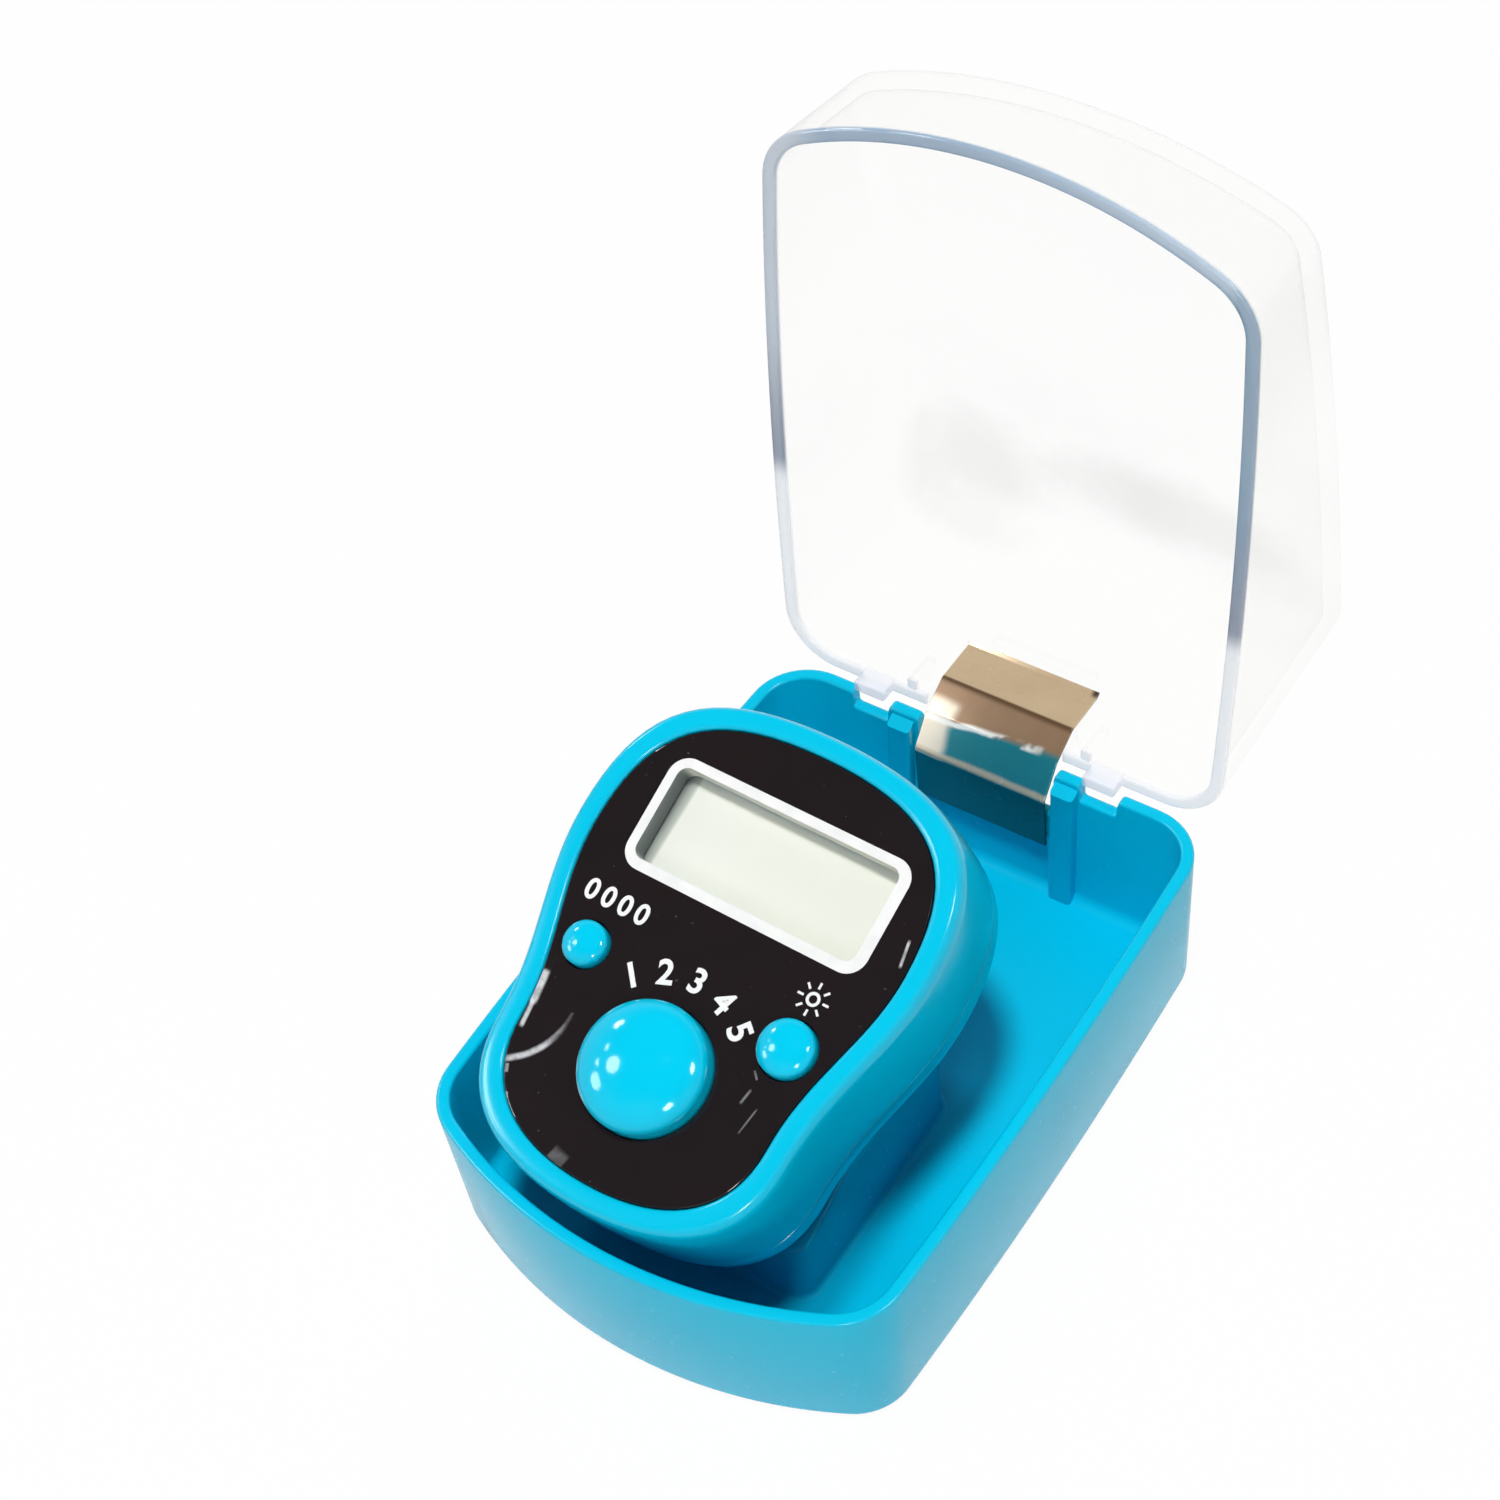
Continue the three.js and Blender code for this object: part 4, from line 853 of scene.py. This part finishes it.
low_edge = [(RIM_WIDTH - 1.8 + 1.7 * s, -BODY_THICKNESS + 1.7 - 1.7 * c) for s, c in quarter_turn(8)]
top_edge = [(RIM_WIDTH - 0.25 + 0.15 * c, -SEAM_DEPTH - 0.45 + 0.15 * s) for s, c in quarter_turn(3)]
tub = loft([face_ring(*step) for step in [
    *low_edge, *top_edge, (0.3, -SEAM_DEPTH - 0.3), (0.3, -8.1), (-0.35, -8.1), (-0.35, -11.1),
]])
lower = piece("lower_shell", tub, shell_cyan, COUNTER_PLACE)
slots = [plate(rounded_rectangle(SLOT_LENGTH, SLOT_WIDTH, 0.4, (0, v)), -14, -10) for v in STRAP_SLOTS]
heads = [plate(disc(place, SCREW_HOLE, 32), -14, -11) for place in SCREWS]
recess = plate(door_outline(0.25), -14, -10)
opened(lower, *slots, *heads, recess)
settled(lower, "counter", "cyan_plastic", "back_shell")

# Battery lid: a small flat plate in the same plastic with three finger grooves, pressed into the
# back shell over the button cell.
door_rings = [(-0.2 + 0.2 * s, -BODY_THICKNESS + 0.2 - 0.2 * c) for s, c in quarter_turn(3)]
door_rings.append((0, -BODY_THICKNESS + 1.1))
door_shape = loft([[(x, y, z) for x, y in door_outline(grow)] for grow, z in door_rings])
door = piece("battery_lid", door_shape, shell_cyan, COUNTER_PLACE)
groove = piece("groove", block(5, 0.8, -13.4, -BODY_THICKNESS + 0.45, 0, 11.3, 0.25), None)
groove_row = Recipe("grip grooves")
pitch = groove_row.size("Groove spacing", 0.0016)
grooves = groove_row.made("grooves", groove_row.copies(groove_row.row(3, pitch, (0, 1, 0)), groove), None)
grooves.data.transform(IN_METRES)
bpy.data.objects.remove(groove)
combined(door, "DIFFERENCE", grooves)
soften(door.data, SHELL_CREASE)
settled(door, "counter", "cyan_plastic", "battery_door")

# Screws: four small steel self-tapping screws with cross slots, sunk in the back shell's holes.
screw_steel = Finish("zinc-plated steel", Metallic=1.0, Roughness=0.3, Base_Color=colour(196, 198, 202))
screw_steel.vary({"Roughness": 0.25 + screw_steel.cloud(0.6, 4) * 0.2})


def lathe(profile, middle=(0, 0), steps=48):
    """Solid turned round an upright axis; the profile's radii start and end above zero."""
    return loft([[(x, y, z) for x, y in disc(middle, radius, steps)] for radius, z in profile])


head = -BODY_THICKNESS + 0.3
one_screw = piece("one_screw", lathe([
    (0.9, head), (1.15, head + 0.1), (1.3, head + 0.35), (1.3, head + 0.8), (0.7, head + 0.8),
    (0.7, head + 5.2), (0.1, head + 6.3),
], steps=32), None)
arms = ((1.5, 0.32), (0.32, 1.5))
cross = [piece("tool", block(*arm, head - 1, head + 0.45, edge=0.05), None) for arm in arms]
combined(one_screw, "DIFFERENCE", *cross)
screw_set = Recipe("screw set")
wide_pair = screw_set.row(2, screw_set.size("Side spacing", SCREWS[0][0] * 0.002))
near_pair = screw_set.row(2, screw_set.size("Front spacing", SCREWS[2][0] * 0.002))
shifts = [
    screw_set.vector(y=screw_set.size(name, spot[1] * 0.001))
    for name, spot in (("Side place", SCREWS[0]), ("Front place", SCREWS[2]))
]
pairs = [
    screw_set.node("GeometryNodeSetPosition", sockets={"Geometry": pair, "Offset": shift})
    for pair, shift in zip((wide_pair, near_pair), shifts)
]
spots = screw_set.tree.nodes.new("GeometryNodeJoinGeometry")
for pair in pairs:
    screw_set.tree.links.new(pair.socket, spots.inputs[0])
all_screws = screw_set.copies(Flow(screw_set, spots.outputs[0]), one_screw)
screws = screw_set.made("shell_screws", all_screws, screw_steel, place=IN_METRES)
bpy.data.objects.remove(one_screw)
settled(screws, "counter", "steel", "screw_right", "screw_left", "screw_front_right", "screw_front_left")

# ----------------------------------------
# Face: a thin acrylic plate, black on its underside and glossy on top, laid in the rim. A clear
# pane fills its window. The white frame and the small signs at the buttons are screen-printed.
face_black = Finish("glossy black face", Roughness=0.06)
axes = face_axes(face_black)


def glint_line(start, end, width):
    """A fine painted glint line on the face between two places in its own millimetres."""
    (x, y), (a, b) = axes[:2], (end[0] - start[0], end[1] - start[1])
    length = math.hypot(a, b)
    along = ((x - start[0]) * (a / length) + (y - start[1]) * (b / length)) / length
    off = abs((x - start[0]) * (b / length) - (y - start[1]) * (a / length))
    inside = face_black.ramped(along, 0, 0.15) * face_black.ramped(along, 0.85, 1, 1, 0)
    return inside * face_black.ramped(off, width * 0.3, width, 1, 0)


def glint_arc(middle, radius, start, end, width):
    """A curved painted glint streak: part of a circle between two places across the face."""
    x, y = axes[:2]
    off = abs(((x - middle[0]) ** 2 + (y - middle[1]) ** 2) ** 0.5 - radius)
    inside = face_black.ramped(x, start, start + 1) * face_black.ramped(x, end - 1, end, 1, 0)
    return inside * face_black.ramped(off, width * 0.2, width, 1, 0) * (y < middle[1])


# Painted glints: white lines where lamps catch creases in the face's film, and a faint pale smudge near its bottom
# edge.
painted_glints = [
    glint_arc((-13.47, -7.46), 6.06, -11.0, -7.3, 0.36), glint_line((-11.25, -5.4), (-10.9, -8.4), 0.45),
    glint_line((-10.95, -7.8), (-10.75, -10.3), 0.26), glint_line((-10.2, -13.0), (-9.9, -13.7), 0.2),
    glint_line((-9.1, -14.9), (-8.8, -15.4), 0.18), glint_line((13.0, 8.7), (13.4, 6.4), 0.16),
    glint_line((7.4, -4.9), (8.0, -5.5), 0.12), glint_line((7.95, -6.2), (7.7, -7.6), 0.14),
    glint_line((9.1, -7.2), (8.7, -9.6), 0.1), glint_line((-3.6, -17.1), (-2.0, -17.5), 0.8),
]
strengths = (0.85, 1, 0.85, 0.6, 0.6, 0.9, 0.3, 0.35, 0.25, 0.16)
glints_and_dust = sum(line * strength for line, strength in zip(painted_glints, strengths))
dust = face_black.ramped(face_black.cloud(0.45, 2), 0.74, 0.8) * 0.35
glints_and_dust = (glints_and_dust * face_black.ramped(face_black.cloud(0.8, 3), 0.3, 0.6, 0.55, 1) + dust * 0.4).clipped()
black = face_black.mix(face_black.cloud(5, 3), colour(25, 22, 25), colour(34, 25, 26))
face_black.vary({"Base Color": face_black.mix(glints_and_dust * 0.8, black, colour(232, 234, 238))})
face_black.vary({"Roughness": 0.05 + face_black.cloud(4, 3) * 0.05 + glints_and_dust * 0.4})
face_black.relief(face_black.cloud(7, 1), 0.006)

film_edge = [(-0.16 + 0.08 * c, 0.08 * s - 0.08) for s, c in quarter_turn(3)]
film_shape = loft([face_ring(-0.08, DECK + 0.01), *[face_ring(*step) for step in film_edge]])
film = piece("face_plate", film_shape, face_black, COUNTER_PLACE)
opened(film, plate(window_outline(0), -4, 1), *button_holes(FILM_HOLE_PLAY))
paint_opening(film)
settled(film, "counter", "face_ink", "face_film")

pane_looks = {"Metallic": 1.0, "Roughness": 0.04, "Base_Color": (1, 1, 1, 1)}
pane_clear = Sheer("clear display pane", (0.985, 0.99, 0.985, 1), **pane_looks)
pane_clear.relief(pane_clear.cloud(9, 1), 0.005)
pane_clear.finish(0.04 + pane_clear.edge * 0.5)
pane = piece("window_pane", plate(window_outline(-0.05), -0.5, 0), pane_clear, COUNTER_PLACE)
settled(pane, "counter", "clear_plastic", "display_window")

print_white = Finish("white screen print", Roughness=0.35)
thin_print = print_white.mix(print_white.cloud(1.2, 3), colour(250, 250, 248), colour(228, 230, 230))
print_white.vary({"Base Color": thin_print})
PRINT_HEIGHT = 0.012
outer_line = rounded_rectangle(21.7, 9.5, 1.7, (0.1, 8.95), 10)
inner_line = rounded_rectangle(19.94, 7.84, 0.9, WINDOW[3], 10)
frame_rings = [[(x, y, z) for x, y in line] for line, z in (
    (outer_line, PRINT_SUNK), (outer_line, PRINT_HEIGHT), (inner_line, PRINT_HEIGHT), (inner_line, PRINT_SUNK),
)]
border = piece("printed_frame", loft(frame_rings, closed=True), print_white, COUNTER_PLACE)
settled(border, "counter", "face_ink")


def numeral(text, height, middle, turn=0.0):
    """One printed numeral as points and faces, in the face's millimetres."""
    letter = bpy.data.curves.new("numeral", "FONT")
    letter.body, letter.extrude, letter.offset = text, 0.01, 0.026
    drawn = placed("numeral", letter)
    mesh = finished_mesh(drawn)
    bpy.data.objects.remove(drawn)
    low = [min(v.co[k] for v in mesh.vertices) for k in (0, 1, 2)]
    high = [max(v.co[k] for v in mesh.vertices) for k in (0, 1, 2)]
    scale = height / (high[1] - low[1])
    points = []
    for vertex in mesh.vertices:
        x = (vertex.co[0] - (low[0] + high[0]) / 2) * scale
        y = (vertex.co[1] - (low[1] + high[1]) / 2) * scale
        z = PRINT_HEIGHT if vertex.co[2] > 0 else PRINT_SUNK
        c, s = math.cos(turn), math.sin(turn)
        points.append((middle[0] + x * c - y * s, middle[1] + x * s + y * c, z))
    return points, [tuple(face.vertices) for face in mesh.polygons]


RAYS, RAY_CORNERS = 8, ((0.62, -0.07), (1, -0.07), (1, 0.07), (0.62, 0.07))


def sun_sign(middle, size):
    """A ring with eight rays, the usual sign for a light."""
    rays = []
    for i in range(RAYS):
        a = i * math.tau / RAYS
        out, across = Vector((math.cos(a), math.sin(a))), Vector((-math.sin(a), math.cos(a)))
        corners = [out * r * size + across * w * size for r, w in RAY_CORNERS]
        rays.append(plate([(middle[0] + p.x, middle[1] + p.y) for p in corners], PRINT_SUNK, PRINT_HEIGHT))
    edges = [disc(middle, r * size, 40) for r in (0.42, 0.42, 0.24, 0.24)]
    heights = (PRINT_SUNK, PRINT_HEIGHT, PRINT_HEIGHT, PRINT_SUNK)
    ring = loft([[(x, y, z) for x, y in edge] for edge, z in zip(edges, heights)], closed=True)
    return [*rays, ring]


ARCH_RADIUS, ARCH_STEP = 7.5, 20.5
arched = []
for place, text in enumerate("12345", start=-2):
    a = math.radians(place * ARCH_STEP)
    spot = (ARCH_RADIUS * math.sin(a), BUTTONS["count"][0][1] + ARCH_RADIUS * math.cos(a))
    arched.append(numeral(text, 2.0, spot, -a))
zeros = [numeral("0", 1.7, (-11.3 + 1.55 * i, 1.45 - 0.02 * i)) for i in range(4)]
signs = piece("printed_signs", together(*arched, *zeros, *sun_sign((8.7, 1.6), 1.35)), print_white, COUNTER_PLACE)
settled(signs, "counter", "face_ink")

# ----------------------------------------
# Buttons: three glossy domes moulded in the same cyan plastic, each with a hidden flange under
# the deck and a stem that presses its switch.
button_cyan = moulded("cyan button plastic", colour(0, 206, 242), 0.07, 0.001)
STEM_END, STEM_RADIUS, FLANGE_LOW, FLANGE_TOP, FLANGE_REACH = -3.6, 1.3, -3, -2.3, 0.6
for name, (middle, radius, rise) in BUTTONS.items():
    shoulder = rise * 0.3
    dome = [(max(radius * c, 0.02), shoulder + (rise - shoulder) * s) for s, c in quarter_turn(20)]
    turned = lathe([
        (0.2, STEM_END), (STEM_RADIUS, STEM_END), (STEM_RADIUS, FLANGE_LOW),
        (radius + FLANGE_REACH, FLANGE_LOW), (radius + FLANGE_REACH, FLANGE_TOP), (radius, FLANGE_TOP), *dome,
    ], middle, 96)
    made = piece(f"{name}_dome", turned, button_cyan, COUNTER_PLACE)
    settled(made, f"{name}_button", "cyan_plastic", f"{name}_button")

# ----------------------------------------
# Finger strap: two soft halves in the same cyan, hooked in the back shell's slots. In the case
# they lie folded in the stand's pocket, the narrow half through the loop of the other.
BUCKLE_WIDTH, TONGUE_WIDTH, STRAP_THICKNESS, STRAP_BEND = 9, 6.4, 1.2, 2.2
LOOP_ENDS, STRAP_HOLE = (-6.85, -3.85), 0.5
soft_cyan = moulded("soft cyan strap plastic", colour(0, 192, 230), 0.42, 0.008)


def in_counter(y, z):
    """A place in the case's side view, moved into the counter's own frame."""
    dy, dz = y - COUNTER_BACK[0], z - COUNTER_BACK[1]
    along = dy * math.cos(COUNTER_TILT) + dz * math.sin(COUNTER_TILT)
    return 0, along, dz * math.cos(COUNTER_TILT) - dy * math.sin(COUNTER_TILT) - BODY_THICKNESS


def strap_line(slot, *bent):
    return [(0, slot, -10.4), (0, slot, -13), *[in_counter(*point) for point in bent]]


front_line = strap_line(STRAP_SLOTS[0], (-15.1, 5.3), (-14.3, 2.1), (-3.85, 2.1))
back_line = strap_line(STRAP_SLOTS[1], (1.4, 7.6), (0.6, 3.6), (-11.5, 3.6))
strap_make = (STRAP_THICKNESS, STRAP_BEND, soft_cyan, COUNTER_PLACE)
front_band = bent_strip("strap_front", front_line, BUCKLE_WIDTH, *strap_make)
back_band = bent_strip("strap_back", back_line, TONGUE_WIDTH, *strap_make)


def strap_piece(name, shape):
    return piece(name, shape, soft_cyan, COUNTER_PLACE)


def loop_shape():
    """The buckle: a rounded loop across the strap, standing on its end."""
    rings = []
    low, high = LOOP_ENDS
    for y, grow in ((low, -0.15), (low + 0.15, 0), (high - 0.15, 0), (high, -0.15)):
        outline = rounded_rectangle(BUCKLE_WIDTH + 2 * grow, 4.1 + 2 * grow, 0.8, (0, 3.55), 5)
        rings.append([(x, *in_counter(y, z)[1:]) for x, z in outline])
    for y in (high, low):
        outline = rounded_rectangle(7, 1.8, 0.3, (0, 3.6), 5)
        rings.append([(x, *in_counter(y, z)[1:]) for x, z in outline])
    return loft(rings, closed=True)


hooks = [strap_piece("hook", block(10.2, 2.4, -10.8, -10, 0, slot, 0.3)) for slot in STRAP_SLOTS]
combined(front_band, "UNION", hooks[0], strap_piece("loop", loop_shape()))
hole = piece("hole", plate(disc((0, 0), STRAP_HOLE, 20), -2, 2), None)
hole_row = Recipe("strap holes")
step = hole_row.size("Hole spacing", 0.0019)
holes = hole_row.made("holes", hole_row.copies(hole_row.row(5, step, (0, 1, 0)), hole), None)
to_strap = Matrix.Translation(Vector(in_counter(-6.2, 3.6)) * 0.001) @ Matrix.Rotation(-COUNTER_TILT, 4, "X")
holes.data.transform(IN_METRES @ to_strap)
bpy.data.objects.remove(hole)
combined(back_band, "DIFFERENCE", holes)
combined(back_band, "UNION", hooks[1])
for band, node in ((front_band, "strap_buckle"), (back_band, "strap_tongue")):
    soften(band.data)
    settled(band, "counter", "cyan_plastic", node)

# ----------------------------------------
# Inside the counter: the display glass behind its pane, and the board with the parts on it. The
# shells hide all but the display, so these keep their plain shapes and get their own finishes.
nodes = frame["nodes"]


def dressed(finish, *names):
    for name in names:
        mesh = nodes[name].data
        mesh.materials.clear()
        mesh.materials.append(finish.material)


glass = Finish("grey display glass", Roughness=0.2)
left_right, up_down, _ = face_axes(glass)
# Painted light on the display: a touch lighter towards the left to offset the shade there, and a painted shadow of
# the opening's left wall along its left edge.
grey = glass.mix(glass.ramped(left_right, -10, 2), colour(247, 248, 242), colour(244, 245, 237))
edge = left_right - (up_down - 5) * 0.04
wall_shadow_tone = glass.mix(glass.ramped(edge, -9.3, -10.4), colour(196, 201, 194), colour(120, 126, 124))
glass.vary({"Base Color": glass.mix(glass.ramped(edge, -9.1, -9.5), grey, wall_shadow_tone)})
glass.relief(glass.cloud(0.3, 1), 0.001)
dressed(glass, "display_glass")

dressed(moulded("milky light guide", colour(240, 243, 243), 0.35), "light_guide")
dressed(moulded("warm white lamp", colour(244, 240, 224), 0.3), "lamp")
dressed(moulded("dark rubber strip", colour(58, 58, 60), 0.75), "rubber_connector")
dressed(moulded("black resin", colour(20, 20, 20), 0.35), "controller_chip")
dressed(moulded("green solder mask", colour(26, 104, 58), 0.4), "circuit_board")
can = Finish("brushed steel can", Metallic=1.0, Base_Color=colour(200, 202, 205))
can.vary({"Roughness": 0.22 + can.cloud(0.8, 4) * 0.2})
dressed(can, "button_cell", "count_switch", "reset_switch", "led_switch")
brass = Finish("plated contact strip", Metallic=1.0, Base_Color=colour(214, 180, 104))
brass.vary({"Roughness": 0.25 + brass.cloud(1, 3) * 0.15})
dressed(brass, "positive_contact", "negative_contact")
